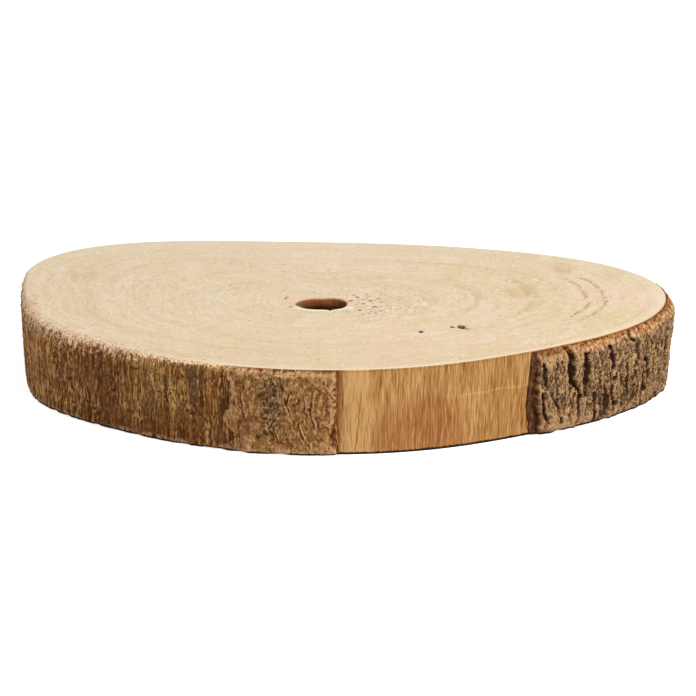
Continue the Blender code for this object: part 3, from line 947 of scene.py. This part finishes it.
THICK_WARM = (0.25, 0.118, 0.050)
THICK_TAN = (0.72, 0.46, 0.20)
THICK_PINK = (0.58, 0.27, 0.17)
TORN = (0.135, 0.044, 0.014)
TORN_LIGHT = (0.25, 0.115, 0.048)
CRUMBLED_DARK = (0.11, 0.033, 0.009)
CRUMBLED = (0.47, 0.19, 0.052)
CRUMBLED_LIGHT = (0.68, 0.38, 0.16)
CRUMBLED_CREAM = (0.84, 0.62, 0.40)
BASE_SHADE = (0.03, 0.014, 0.006)

# Arcs of pores and stain at the right of the top: share of the way to the rim, breadth and strength, and how far in
# front of the middle and behind it they end
PORE_ARCS = (
    (0.823, 0.010, 1.0, 0.030, 0.052),
    (0.775, 0.009, 0.9, 0.024, 0.046),
    (0.625, 0.030, 0.5, 0.010, 0.046),
    (0.450, 0.016, 0.4, 0.020, 0.030),
)
ARC_FADE = 0.012

# Tinted patches of the top, where the photograph has them: middle and reach, from the pith to the right and to the
# back, in millimetres, and then colour and strength
TINTS = (
    ((12, 54), (20, 7), TOP_OLIVE, 0.75),
    ((91, 23), (9, 15), TOP_OCHRE, 0.60),
    ((114, 78), (7, 14), TOP_RED, 0.60),
    ((-113, 68), (9, 32), TOP_OCHRE, 0.40),
    ((-50, 92), (20, 12), TOP_RED, 0.20),
    ((51, -62), (22, 4), TOP_PALE, 0.90),
    ((-55, 41), (16, 15), TOP_PALE, 0.55),
    ((3, 108), (24, 20), TOP_PINK, 0.80),
    ((0, -110), (14, 14), TOP_OLIVE, 0.35),
    ((37, 0), (6, 28), TOP_OLIVE, 0.40),
)


class Value:
    """What a node gives at each point, with arithmetic that makes more nodes."""

    def __init__(self, finish, socket):
        self.finish = finish
        self.socket = socket

    def __add__(self, other):
        return self.finish.math("ADD", self, other)

    def __sub__(self, other):
        return self.finish.math("SUBTRACT", self, other)

    def __rsub__(self, other):
        return self.finish.math("SUBTRACT", other, self)

    def __mul__(self, other):
        return self.finish.math("MULTIPLY", self, other)

    def __truediv__(self, other):
        return self.finish.math("DIVIDE", self, other)

    def __abs__(self):
        return self.finish.math("ABSOLUTE", self)

    __radd__ = __add__
    __rmul__ = __mul__


class Finish:
    """A material built from nodes."""

    def __init__(self, name, roughness):
        self.material = bpy.data.materials.new(name)
        self.material.use_nodes = True
        self.tree = self.material.node_tree
        self.shader = self.tree.nodes["Principled BSDF"].inputs
        self.put(self.shader["Roughness"], roughness)
        self.put(self.shader["Specular IOR Level"], SHEEN)

    def put(self, socket, value):
        """Links a socket to a value, or sets it to a number or a colour."""
        if isinstance(value, Value):
            self.tree.links.new(value.socket, socket)
        elif isinstance(value, tuple) and len(value) == 3 and len(socket.default_value) == 4:
            socket.default_value = (*value, 1)
        else:
            socket.default_value = value

    def node(self, kind, inputs, output=0, **settings):
        """One of the values that a new node gives."""
        node = self.tree.nodes.new("ShaderNode" + kind)
        for name, setting in settings.items():
            setattr(node, name, setting)
        for name, value in inputs.items():
            self.put(node.inputs[name], value)
        return Value(self, node.outputs[output])

    def layer(self, name):
        """A layer of the mesh."""
        return self.node("Attribute", {}, "Fac", attribute_name=name)

    def place(self):
        """Each point's place on the surface: along the arc, up, and out."""
        return self.node("Attribute", {}, "Vector", attribute_name="place")

    def in_space(self):
        """Each point's place in the piece's own space."""
        return self.node("TexCoord", {}, "Object")

    def parts(self, place):
        """The three numbers of a place."""
        outputs = self.node("SeparateXYZ", {0: place}).socket.node.outputs
        return [Value(self, output) for output in outputs]

    def join(self, x, y, z):
        return self.node("CombineXYZ", {0: x, 1: y, 2: z})

    def math(self, kind, a, b=0.0):
        return self.node("Math", {0: a, 1: b}, operation=kind)

    def greatest(self, a, b):
        return self.math("MAXIMUM", a, b)

    def noise(self, place, per_metre, detail=3.0, roughness=0.55, bend=0.0, shift=0.0):
        """Noise from 0 to 1, with its own number of swells a metre along each axis."""
        moved = self.node("Mapping", {"Vector": place, "Scale": per_metre, "Location": (shift, 2 * shift, 3 * shift)})
        inputs = {"Vector": moved, "Scale": 1.0, "Detail": detail, "Roughness": roughness, "Distortion": bend}
        return self.node("TexNoise", inputs, "Fac")

    def veins(self, place, per_metre, width, shift=0.0):
        """Thin winding lines: 1 on a line, and 0 away from it."""
        return self.fade(abs(self.noise(place, per_metre, 2, 0.5, 0.3, shift) - 0.5), 0.0, width)

    def step(self, value, low, high, below=0.0, above=1.0):
        """0 where value is below low, 1 above high, and smooth between."""
        inputs = {"Value": value, "From Min": low, "From Max": high, "To Min": below, "To Max": above}
        return self.node("MapRange", inputs, "Result", interpolation_type="SMOOTHSTEP")

    def fade(self, value, low, high):
        """The other way round: 1 where value is below low, and 0 above high."""
        return self.step(value, low, high, 1.0, 0.0)

    def mix(self, share, a, b):
        """Colour a turning into colour b."""
        return self.node("Mix", {"Factor": share, 6: a, 7: b}, 2, data_type="RGBA")

    def marble(self, colour, noise, high, low):
        """Two more colours, one where a noise is high and one where it is low. Each comes with its strength and with
        the noise where it begins and ends."""
        strength, start, end, over = high
        colour = self.mix(strength * self.step(noise, start, end), colour, over)
        strength, start, end, over = low
        return self.mix(strength * self.fade(noise, start, end), colour, over)

    def ramp(self, value, *stops):
        """A colour for each value, from pairs of value and colour."""
        colour = self.node("ValToRGB", {0: value})
        elements = colour.socket.node.color_ramp.elements
        while len(elements) < len(stops):
            elements.new(0.5)
        for element, (at, shade) in zip(elements, stops):
            element.position = at
            element.color = (*shade, 1)
        return colour

    def bump(self, height, distance, strength):
        """Small relief given by a height, put on the shader."""
        relief = self.node("Bump", {"Height": height, "Distance": distance, "Strength": strength})
        self.put(self.shader["Normal"], relief)

    def done(self, colour):
        self.put(self.shader["Base Color"], colour)
        return self.material


def arc_of(degrees):
    """The arc, in metres, from the right round to an angle."""
    return math.radians(degrees) * MEAN_ARC * MM


def worn_rim(f, colour, place, height):
    """Cream wood on a worn edge, breaking up into tan and dark red dots and then the given colour, further down where
    it is worn more. Behind, its outer edge gets a thin line of painted shade."""
    arc, _, out = f.parts(place)
    down = (THICKNESS - height) / (0.0042 * f.layer("worn") + 0.0008)
    dots = f.noise(place, (720, 520, 560), 2, 0.7, shift=3.0)
    spots = f.noise(place, (240, 170, 200), 2, 0.6, shift=6.0)
    level = down + 4.6 * (dots - 0.5) + 2.0 * (spots - 0.5)
    red = f.noise(place, (620, 520, 560), 2, 0.7, shift=12.0)
    colour = f.mix(f.fade(level, 0.85, 1.05), colour, WORN_TAN)
    colour = f.mix(f.fade(level, 0.40, 0.60), colour, WORN_CREAM)
    behind = f.fade(arc, arc_of(165), arc_of(180))
    rim_behind = behind * f.fade(level, 0.85, 1.05)
    colour = f.mix(0.8 * rim_behind, colour, TOP_RIM)
    # Painted shade: a thin dark line along the outer edge of the rim behind
    outermost = f.step(out, 0.0015, 0.0019) * f.fade(out, 0.01, 0.02)
    colour = f.mix(rim_behind * outermost, colour, BACK_RIM_SHADE)
    dotted = f.step(red, 0.545, 0.59) * f.fade(down, 0.9, 1.5) * (1.0 - behind)
    return f.mix(0.85 * dotted, colour, WORN_DOT)


def arc_at(column):
    """The arc, in metres, of the front point that is seen at a column of the photograph."""
    degrees = np.linspace(*FRONT_DEGREES)
    angles = np.radians(degrees)
    columns = PITH_PIXEL[0] + FRONT_NEARER * PIXELS_PER_METRE * wood_radius(angles, THICKNESS) * np.cos(angles)
    return arc_of(float(np.interp(column, columns, degrees)))


def right_arc_at(column):
    """The same on the bare wood and the thick bark, where arcs are a whole turn less."""
    return arc_at(column) - arc_of(360)


def spot(f, arc, height, middle, reach):
    """1 in the middle of a soft oval, and 0 outside it."""
    across = (arc - middle[0]) / reach[0]
    up = (height - middle[1]) / reach[1]
    return f.fade(up * up + across * across, 0.2, 1.1)


def top_finish(f, space, ring):
    """The sawn top: faint rings, pink and yellow patches, streaks along the rings, and pores. Also its lines."""
    x, y, _ = f.parts(space)
    turn, worn = f.layer("turn"), f.layer("worn")
    uneven = 0.05 * f.noise(space, (22, 22, 22), 2) - 0.025 + ring
    round_rings = f.join(uneven, 0.15 * x, 0.15 * y)
    bands = f.noise(round_rings, (26, 26, 26), 3, 0.65)
    lines = f.noise(round_rings, (120, 60, 60), 3, 0.65)
    top = f.mix(f.step(f.noise(space, (14, 14, 14), 2), 0.35, 0.7), TOP, TOP_PINK)
    yellow = f.noise(space, (17, 17, 17), 2, shift=5.0) + 0.1 * f.step(turn, -0.2, 1.0)
    top = f.mix(f.step(yellow, 0.50, 0.78), top, TOP_YELLOW)
    blotches = f.noise(space, (75, 45, 75), 3, 0.6, shift=25.0)
    top = f.marble(top, blotches, (0.50, 0.50, 0.66, TOP_YELLOW), (0.50, 0.34, 0.48, TOP_PALE))
    for middle, reach, colour, strength in TINTS:
        middle = (PITH.x + middle[0] * MM, PITH.y + middle[1] * MM)
        tint = spot(f, x, y, middle, (reach[0] * MM, reach[1] * MM))
        top = f.mix(tint * f.step(blotches, 0.36, 0.54) * strength, top, colour)
    top = f.mix(0.45 * f.step(bands, 0.47, 0.72), top, TOP_BAND)
    top = f.marble(top, lines, (0.40, 0.50, 0.80, TOP_BAND), (0.50, 0.20, 0.44, TOP_RIM))
    dashes = f.noise(f.join(uneven, x, y), (55, 75, 75), 3, 0.7, shift=13.0)
    top = f.marble(top, dashes, (0.30, 0.50, 0.66, TOP_BAND), (0.38, 0.34, 0.48, TOP_RIM))
    fine = f.noise(space, (520, 260, 520), 3, 0.75, shift=11.0)
    top = f.marble(top, fine, (0.36, 0.52, 0.66, TOP_BAND), (0.45, 0.35, 0.47, TOP_RIM))

    arcs = 0.0
    for share, breadth, strength, front, back in PORE_ARCS:
        near = f.fade(abs(uneven - share), 0.35 * breadth, breadth)
        length = f.step(y, PITH.y - front - ARC_FADE, PITH.y - front) * f.fade(y, back, back + ARC_FADE)
        arcs = f.greatest(arcs, near * (length * f.step(turn, 0.0, 0.5) * strength))
    broken = f.step(f.noise(space, (150, 60, 150), 2, 0.6, shift=15.0), 0.34, 0.54)
    top = f.mix(0.75 * (arcs * broken), top, TOP_ARC)
    speckle = f.noise(space, (460, 330, 460), 2, 0.7)
    crowded = f.step(f.noise(space, (30, 30, 30), 2, shift=9.0), 0.5, 0.75)
    near_pith = f.fade(ring, 0.16, 0.45) * f.step(turn, 0.2, 0.9)
    near_rim = f.step(ring, 0.93, 0.99) * (worn * f.fade(y, 0.0, 0.05))
    likely = 0.45 * crowded + near_pith + (arcs + near_rim)
    pores = f.step(speckle + 0.072 * likely, 0.665, 0.71)
    top = f.mix(0.72 * pores, top, TOP_PORE)
    chips = f.step(f.noise(space, (400, 260, 400), 2, 0.7, shift=21.0) + 0.04 * likely, 0.66, 0.7)
    top = f.mix(0.8 * chips, top, TOP_CHIP)
    top = f.mix(0.35 * f.step(y, 0.05, 0.15), top, TOP_PALE)
    top = f.mix(0.2 * f.fade(y, -0.11, -0.05), top, TOP_BAND)

    rim_noise = ring + 0.03 * f.noise(space, (60, 60, 60), 2)
    whole_rim = 0.55 - 0.35 * worn
    top = f.mix(f.step(rim_noise, 0.975, 1.01) * whole_rim, top, TOP_RIM)
    crumbs = f.noise(space, (480, 330, 480), 2, 0.7, shift=27.0)
    edge = f.step(ring + 0.06 * f.noise(space, (150, 150, 150), 2), 0.955, 1.015)
    edge *= worn * f.fade(y, 0.0, 0.035)
    crumbled = f.step(crumbs + 0.12 * edge, 0.6, 0.64)
    top = f.mix(0.65 * (crumbled * edge), top, WORN_BROWN)
    specked = f.fade(crumbs - 0.12 * edge, 0.27, 0.31)
    top = f.mix(0.75 * (specked * edge), top, WORN_SPECK)
    round_pith = f.fade(ring + 0.02 * blotches, 0.1, 0.13)
    top = f.mix(0.55 * round_pith, top, TOP_LIP)
    near_lip = f.fade(ring, 0.108, 0.122) * f.fade(y, -0.011, -0.007)
    top = f.mix(0.9 * near_lip, top, TOP_CHIP)
    # Painted shade inside the pits
    return f.mix(f.layer("pit"), top, PIT_SHADE), lines


def bare_finish(f, place, arc, height):
    """The bare side: wavy upright streaks, a pale band on the left with a crack in it, and a pale line on the
    right. Also its streaks."""
    swayed = arc + 0.0036 * f.noise(place, (70, 60, 0), 2, shift=4.0)
    wavy = f.join(swayed, height, 0.0)
    streaks = f.noise(wavy, (860, 44, 0), 4, 0.7, 0.2)
    threads = f.noise(wavy, (1900, 100, 0), 3, 0.7, 0.1, 3.0)
    patches = f.noise(place, (45, 30, 0), 2, shift=7.0)
    tone = 0.48 * streaks + 0.55 * threads + 0.15 * f.layer("grain") + 0.16 * patches
    pale = spot(f, arc, height, (right_arc_at(360), 0.02), (0.0085, 0.06))
    darker = spot(f, arc, height, (right_arc_at(425), 0.008), (0.030, 0.020))
    tone += 0.09 * pale - 0.045 * darker
    from_line = abs(height + (0.003 * f.noise(place, (90, 0, 0), 2) - 0.0253))
    on_right = f.step(arc, right_arc_at(438), right_arc_at(485)) * f.fade(arc, -0.11, -0.1)
    line = f.fade(from_line, 0.0001, 0.0009) * on_right * f.step(f.noise(place, (500, 0, 0), 2), 0.38, 0.52)
    tone += 0.07 * line
    side = f.ramp(tone, (0.56, BARE_DARK), (0.665, BARE), (0.79, BARE_LIGHT))
    side = f.mix(0.22 * darker, side, BARE_RED)
    crack_arc = right_arc_at(357) + 0.1 * height + 0.0028 * f.noise(place, (0, 120, 0), 2)
    from_crack = abs(arc + 0.0014 - crack_arc)
    crack = f.fade(from_crack, 0.0001, 0.0004) * f.fade(height, 0.026, 0.033)
    side = f.mix(0.8 * crack, side, BARE_DARK)
    beside_bark = arc + 0.0018 * f.noise(place, (0, 110, 0), 2)
    beside_bark = f.fade(beside_bark, right_arc_at(341), right_arc_at(345))
    side = f.mix(0.75 * beside_bark, side, BARE_DARK)
    below_rim = THICKNESS - (height + 0.0008 * f.noise(place, (300, 0, 0), 2))
    under_rim = f.step(below_rim, 0.0001, 0.0004) * f.fade(below_rim, 0.0007, 0.0011)
    return f.mix(0.3 * under_rim, side, BARE_DARK), tone


def wood_finish():
    f = Finish("wood", 0.72)
    place, space, ring = f.place(), f.in_space(), f.layer("ring")
    arc, height, _ = f.parts(place)
    top, lines = top_finish(f, space, ring)
    side, streaks = bare_finish(f, place, arc, height)
    side = f.mix(f.step(f.layer("worn"), 0.05, 0.2), side, worn_rim(f, THIN, place, height))

    # The open pith: reddish under its lip, darker further down as painted shade, and golden at its left end as painted
    # light on the lit wall
    deep = THICKNESS - height + 0.003 * f.noise(place, (220, 60, 0), 3)
    hole = f.mix(f.step(deep, 0.0020, 0.0038), LIP, HOLE)
    hole = f.mix(f.step(deep, 0.0040, 0.0062), hole, HOLE_DARK)
    grainy = f.step(f.noise(place, (520, 420, 0), 3, 0.7, shift=31.0), 0.50, 0.62)
    hole = f.mix(0.45 * grainy, hole, HOLE_DARK)
    # Painted light: the wall at the left end, as if lit
    gold = f.fade(f.layer("turn"), -0.9, -0.45) * f.step(deep, 0.0012, 0.0025) * f.fade(deep, 0.0045, 0.0065)
    hole = f.mix(0.8 * gold, hole, HOLE_LIT_GOLD)

    colour = f.mix(f.step(f.layer("side"), 0.25, 0.6), top, side)
    colour = f.mix(f.layer("hole"), colour, hole)
    colour = painted_base_shade(f, colour, place, height)
    f.bump(streaks + lines, 0.00025, 0.5)
    return f.done(colour)


def painted_base_shade(f, colour, place, height):
    """A thin dark line along the lower edge: painted shade at the foot."""
    ragged = height - 0.0012 * f.noise(place, (500, 300, 0), 2)
    return f.mix(f.fade(ragged, 0.0004, 0.0009), colour, BASE_SHADE)


def thin_bark_finish():
    f = Finish("inner_bark", 0.8)
    place = f.place()
    arc, height, _ = f.parts(place)
    relief, wide, flaky = f.layer("relief"), f.layer("wide_relief"), f.layer("flaky")
    light, dark = f.layer("light"), f.layer("dark")

    fibres = f.noise(place, (950, 120, 0), 3, 0.65, 0.4)
    specks = f.noise(place, (2100, 420, 0), 2, 0.7, 0.2, 4.0)
    patches = f.noise(place, (70, 45, 0), 3, shift=2.0)
    # Painted shade and highlight: darker in hollows and slits, lighter on fibres that stand out
    tone = 0.55 * fibres + 0.18 * relief + 0.45 * specks + 0.28 * patches + 0.09 * light - 0.1 * dark
    tone += 0.07 * f.fade(arc, arc_at(38), arc_at(75)) + 0.012 * f.step(arc, arc_at(90), arc_at(130))
    golden = spot(f, arc, height, (arc_at(155), 0.025), (0.022, 0.018))
    shaded_foot = f.fade(height, 0.001, 0.013) * f.step(arc, arc_at(50), arc_at(110))
    at_left = f.fade(arc, arc_at(60), arc_at(120))
    flecks = f.noise(place, (820, 190, 0), 2, 0.7, 0.3, 23.0)
    broad = f.noise(place, (230, 20, 0), 3, 0.6, 0.3, 45.0)
    tone += 0.06 * golden - 0.05 * shaded_foot + 0.6 * ((flecks - 0.5) * at_left) + 0.3 * (broad - 0.5)
    calm = f.step(f.noise(place, (95, 60, 0), 2, shift=29.0), 0.46, 0.62)
    tone += 0.55 * ((0.745 - tone) * calm)
    fibrous = f.ramp(tone, (0.62, THIN_DARK), (0.755, THIN), (0.90, THIN_LIGHT))
    gilt = f.ramp(tone, (0.62, THIN_DARK), (0.755, THIN_GOLD), (0.90, THIN_GILT))
    fibrous = f.mix(0.8 * (golden * f.step(patches, 0.36, 0.56)), fibrous, gilt)
    red = spot(f, arc, height, (arc_at(98), 0.022), (0.016, 0.03))
    reddish = f.step(f.noise(place, (55, 40, 0), 2, shift=14.0) + 0.12 * red, 0.52, 0.66)
    fibrous = f.mix(0.5 * reddish, fibrous, THIN_RED)
    grey = f.step(f.noise(place, (45, 60, 0), 2, shift=8.0), 0.55, 0.72)
    fibrous = f.mix(0.3 * grey, fibrous, THIN_GREY)
    greyer = spot(f, arc, height, (arc_at(195), 0.030), (0.0060, 0.014))
    fibrous = f.mix(0.5 * greyer, fibrous, THIN_GREY)
    flecked = f.step(flecks + 0.045 * at_left, 0.64, 0.7)
    fibrous = f.mix(0.55 * flecked, fibrous, THIN_FLECK)
    chips = f.step(f.noise(place, (230, 160, 0), 3, shift=33.0), 0.5, 0.58)
    fibrous = f.mix(0.6 * (f.fade(height, 0.0012, 0.0036) * chips), fibrous, THIN_FLECK)
    # Painted shadow beside the flaky patch's lifted left edge
    shadow_beside_flakes = spot(f, arc, height, (arc_at(227), 0.019), (0.0046, 0.0105))
    fibrous = f.mix(0.6 * shadow_beside_flakes, fibrous, THIN_DARK)

    scales = f.noise(place, (330, 270, 0), 4, 0.75, 0.6, 6.0)
    grains = f.noise(place, (1500, 1100, 0), 2, 0.7, 0.2, 19.0)
    veins = f.veins(place, (330, 120, 0), 0.03, 16.0)
    # Painted shade and highlight: darker in hollows, gaps, slits and under the lips, lighter on flakes and lips that
    # stand out
    scale_tone = 0.14 * wide + 0.24 * relief + 0.55 * scales + 0.35 * grains + 0.15 * light - 0.22 * dark - 0.1 * veins
    scaly = f.ramp(scale_tone, (0.44, FLAKE_DARK), (0.63, FLAKE), (0.86, FLAKE_LIGHT))
    pocks = f.step(f.noise(place, (290, 190, 0), 2, 0.6, shift=35.0), 0.61, 0.67)
    scaly = f.mix(0.6 * pocks, scaly, FLAKE_DARK)
    ruddy = f.ramp(scale_tone, (0.46, THIN_DARK), (0.64, FLAKE_RED), (0.86, FLAKE_PINK))
    near_foot = 0.1 * f.fade(height, 0.001, 0.012)
    redder = f.step(near_foot + f.noise(place, (130, 90, 0), 3, 0.6, 0.6, 41.0), 0.52, 0.64)
    scaly = f.mix(0.6 * redder, scaly, ruddy)
    rough_spot = spot(f, arc, height, (arc_of(ROUGH_ANGLE), 0.026), (0.0078, 0.022))
    rough_grey = f.ramp(scale_tone, (0.40, FLAKE_DARK), (0.63, FLAKE_GREY), (0.86, FLAKE_LIGHT))
    scaly = f.mix(0.7 * rough_spot, scaly, rough_grey)
    below_top = THICKNESS - (height - 0.005 * f.noise(place, (190, 0, 0), 3, 0.7))
    edge_red = f.ramp(scale_tone, (0.50, THIN_DARK), (0.66, FLAKE_RED), (0.80, FLAKE_PINK))
    scaly = f.mix(0.62 * f.fade(below_top, 0.0032, 0.0042), scaly, edge_red)
    rim_dots = f.noise(place, (560, 620, 0), 2, 0.7, shift=43.0)
    at_edge = f.fade(below_top, 0.004, 0.0052) * f.fade(arc, arc_at(285), arc_at(330))
    scaly = f.mix(0.8 * (f.step(rim_dots, 0.54, 0.6) * at_edge), scaly, FLAKE_PINK)
    scaly = f.mix(0.9 * (f.fade(rim_dots, 0.38, 0.45) * at_edge), scaly, THIN_RED)
    colour = f.mix(flaky, fibrous, scaly)

    # The worn upper edge lets the cream wood through
    colour = f.mix(f.step(f.layer("worn"), 0.05, 0.2), colour, worn_rim(f, colour, place, height))
    colour = painted_base_shade(f, colour, place, height)
    f.bump(tone, 0.0002, 0.6)
    return f.done(colour)


def thick_bark_finish():
    f = Finish("outer_bark", 0.85)
    place = f.place()
    arc, height, _ = f.parts(place)
    relief, wide = f.layer("relief"), f.layer("wide_relief")
    grain = f.noise(place, (640, 150, 0), 4, 0.75, 0.6)
    grit = f.noise(place, (1700, 600, 0), 2, 0.75, shift=5.0)
    patches = f.noise(place, (160, 70, 0), 3, shift=1.0)
    veins = f.veins(place, (420, 95, 0), 0.035, 7.0)
    edges = f.veins(place, (560, 150, 0), 0.024, 9.0)
    # Painted shade and highlight: darker in hollows, cracks, gashes and furrows, lighter where the bark stands out and
    # on crests
    tone = 0.18 * wide + 0.2 * relief + 0.44 * grain + 0.34 * grit
    tone += 0.15 * f.layer("light") - 0.22 * f.layer("dark") - 0.018
    at_left = f.fade(arc, right_arc_at(585), right_arc_at(605))
    at_ends = f.greatest(at_left, f.step(arc, right_arc_at(646), right_arc_at(662)))
    beside_torn = f.fade(abs(arc - right_arc_at(537)), 0.0014, 0.0032)
    # veins: thin dark lines of painted shade, as in cracks; edges: thin light lines of painted highlight
    tone += 0.056 * at_ends - 0.085 * beside_torn - 0.12 * veins + 0.17 * edges
    scales = f.step(f.noise(place, (230, 85, 0), 3, 0.6, 1.2, 37.0), 0.47, 0.52)
    scraps = f.step(f.noise(place, (760, 330, 0), 2, 0.6, 1.0, 39.0), 0.52, 0.57)
    shaded = f.step(f.noise(place, (110, 60, 0), 2, shift=22.0), 0.50, 0.66)
    tone += 0.07 * (scales - 0.5) + 0.09 * (scraps - 0.3) - 0.07 * shaded
    face = f.ramp(tone, (0.41, THICK_DARK), (0.595, THICK), (0.80, THICK_LIGHT))
    warm = f.ramp(tone, (0.41, THICK_DARK), (0.595, THICK_WARM), (0.80, THICK_TAN))
    face = f.mix(f.step(patches, 0.48, 0.62), face, warm)
    pink = f.step(f.noise(place, (240, 120, 0), 2, shift=17.0), 0.57, 0.66) * f.step(tone, 0.66, 0.82)
    face = f.mix(0.7 * pink, face, THICK_PINK)

    foot_noise = f.noise(place, (210, 160, 0), 2, shift=18.0)
    foot_left = spot(f, arc, height, (right_arc_at(558), 0.0), (0.022, 0.012))
    at_foot = f.fade(height, 0.0015, 0.0055) * f.step(foot_noise, 0.5, 0.6)
    at_foot = f.greatest(at_foot, foot_left * f.step(foot_noise, 0.44, 0.54))
    chipped = f.ramp(tone, (0.50, THICK_PINK), (0.75, THICK_TAN))
    face = f.mix(0.75 * at_foot, face, chipped)

    lumps = f.noise(place, (460, 420, 520), 4, 0.7, shift=2.0)
    # relief adds painted shade in hollows and painted highlight on what stands out
    lump_tone = 0.9 * lumps + 0.3 * relief
    crumbled = f.ramp(
        lump_tone, (0.51, CRUMBLED_DARK), (0.60, CRUMBLED), (0.70, CRUMBLED_LIGHT), (0.80, CRUMBLED_CREAM)
    )
    crown_left = f.fade(arc, right_arc_at(548), right_arc_at(582))
    crumbled = f.mix(0.42 * crown_left, crumbled, CRUMBLED_DARK)
    colour = f.mix(f.layer("crumbly"), face, crumbled)
    # relief adds painted shade in hollows and painted highlight on what stands out
    torn_tone = 0.3 * relief + 0.8 * f.noise(place, (700, 180, 300), 3, 0.65)
    torn = f.ramp(torn_tone, (0.42, THICK_DARK), (0.56, TORN), (0.72, TORN_LIGHT))
    colour = f.mix(f.layer("torn"), colour, torn)
    colour = painted_base_shade(f, colour, place, height)
    f.bump(grain + grit + (scales + scraps), 0.0003, 0.6)
    return f.done(colour)


FLOOR_REACH = 6
SENSOR_WIDTH = 36


def floor(name, colour, glow):
    f = Finish(name, 0.9)
    f.put(f.shader["Emission Color"], (1, 1, 1))
    f.put(f.shader["Emission Strength"], glow)
    mesh = bpy.data.meshes.new(name)
    corners = [(x * FLOOR_REACH, y * FLOOR_REACH, 0) for x, y in ((-1, -1), (1, -1), (1, 1), (-1, 1))]
    mesh.from_pydata(corners, [], [(0, 1, 2, 3)])
    plane = bpy.data.objects.new(name, mesh)
    mesh.materials.append(f.done((colour, colour, colour)))
    bpy.context.scene.collection.objects.link(plane)
    return plane


def floors():
    """A white floor that the camera sees, and one in the same place that gives the light from below."""
    seen = floor("floor", colour=0.8, glow=0.78)
    seen.visible_diffuse = False
    seen.visible_glossy = False
    seen.visible_shadow = False
    lit = floor("floor_light", colour=0.75, glow=0.0)
    lit.location.z = -0.002
    lit.visible_camera = False


def soft_light(name, place, size, power):
    light = bpy.data.lights.new(name, "AREA")
    light.shape = "DISK"
    light.size = size
    light.energy = power
    lamp = bpy.data.objects.new(name, light)
    lamp.location = place
    lamp.rotation_euler = (-Vector(place)).to_track_quat("-Z", "Y").to_euler()
    bpy.context.scene.collection.objects.link(lamp)


def lighting():
    world = bpy.data.worlds.new("studio")
    world.use_nodes = True
    sky = world.node_tree.nodes["Background"]
    sky.inputs["Color"].default_value = (1, 1, 1, 1)
    sky.inputs["Strength"].default_value = 0.42
    bpy.context.scene.world = world
    soft_light("key", place=(1.0, -1.15, 2.1), size=0.55, power=50)
    bpy.context.scene.view_settings.view_transform = "Standard"


def camera():
    """The photograph's view: the middle of the pith's opening comes at PITH_PIXEL."""
    up = Vector((0, math.sin(CAMERA_ELEVATION), math.cos(CAMERA_ELEVATION)))
    back = Vector((0, -math.cos(CAMERA_ELEVATION), math.sin(CAMERA_ELEVATION)))
    right_by, down_by = ((IMAGE_SIDE / 2 - pixel) / PIXELS_PER_METRE for pixel in PITH_PIXEL)
    aim = PITH + Vector((right_by, 0, THICKNESS)) - up * down_by
    lens = bpy.data.cameras.new("camera")
    lens.sensor_width = SENSOR_WIDTH
    lens.lens = SENSOR_WIDTH * PIXELS_PER_METRE * CAMERA_DISTANCE / IMAGE_SIDE
    eye = bpy.data.objects.new("camera", lens)
    eye.location = aim + back * CAMERA_DISTANCE
    eye.rotation_euler = (math.pi / 2 - CAMERA_ELEVATION, 0, 0)
    bpy.context.scene.collection.objects.link(eye)
    bpy.context.scene.camera = eye


wood()
thick_bark()
thin_bark()
floors()
lighting()
camera()
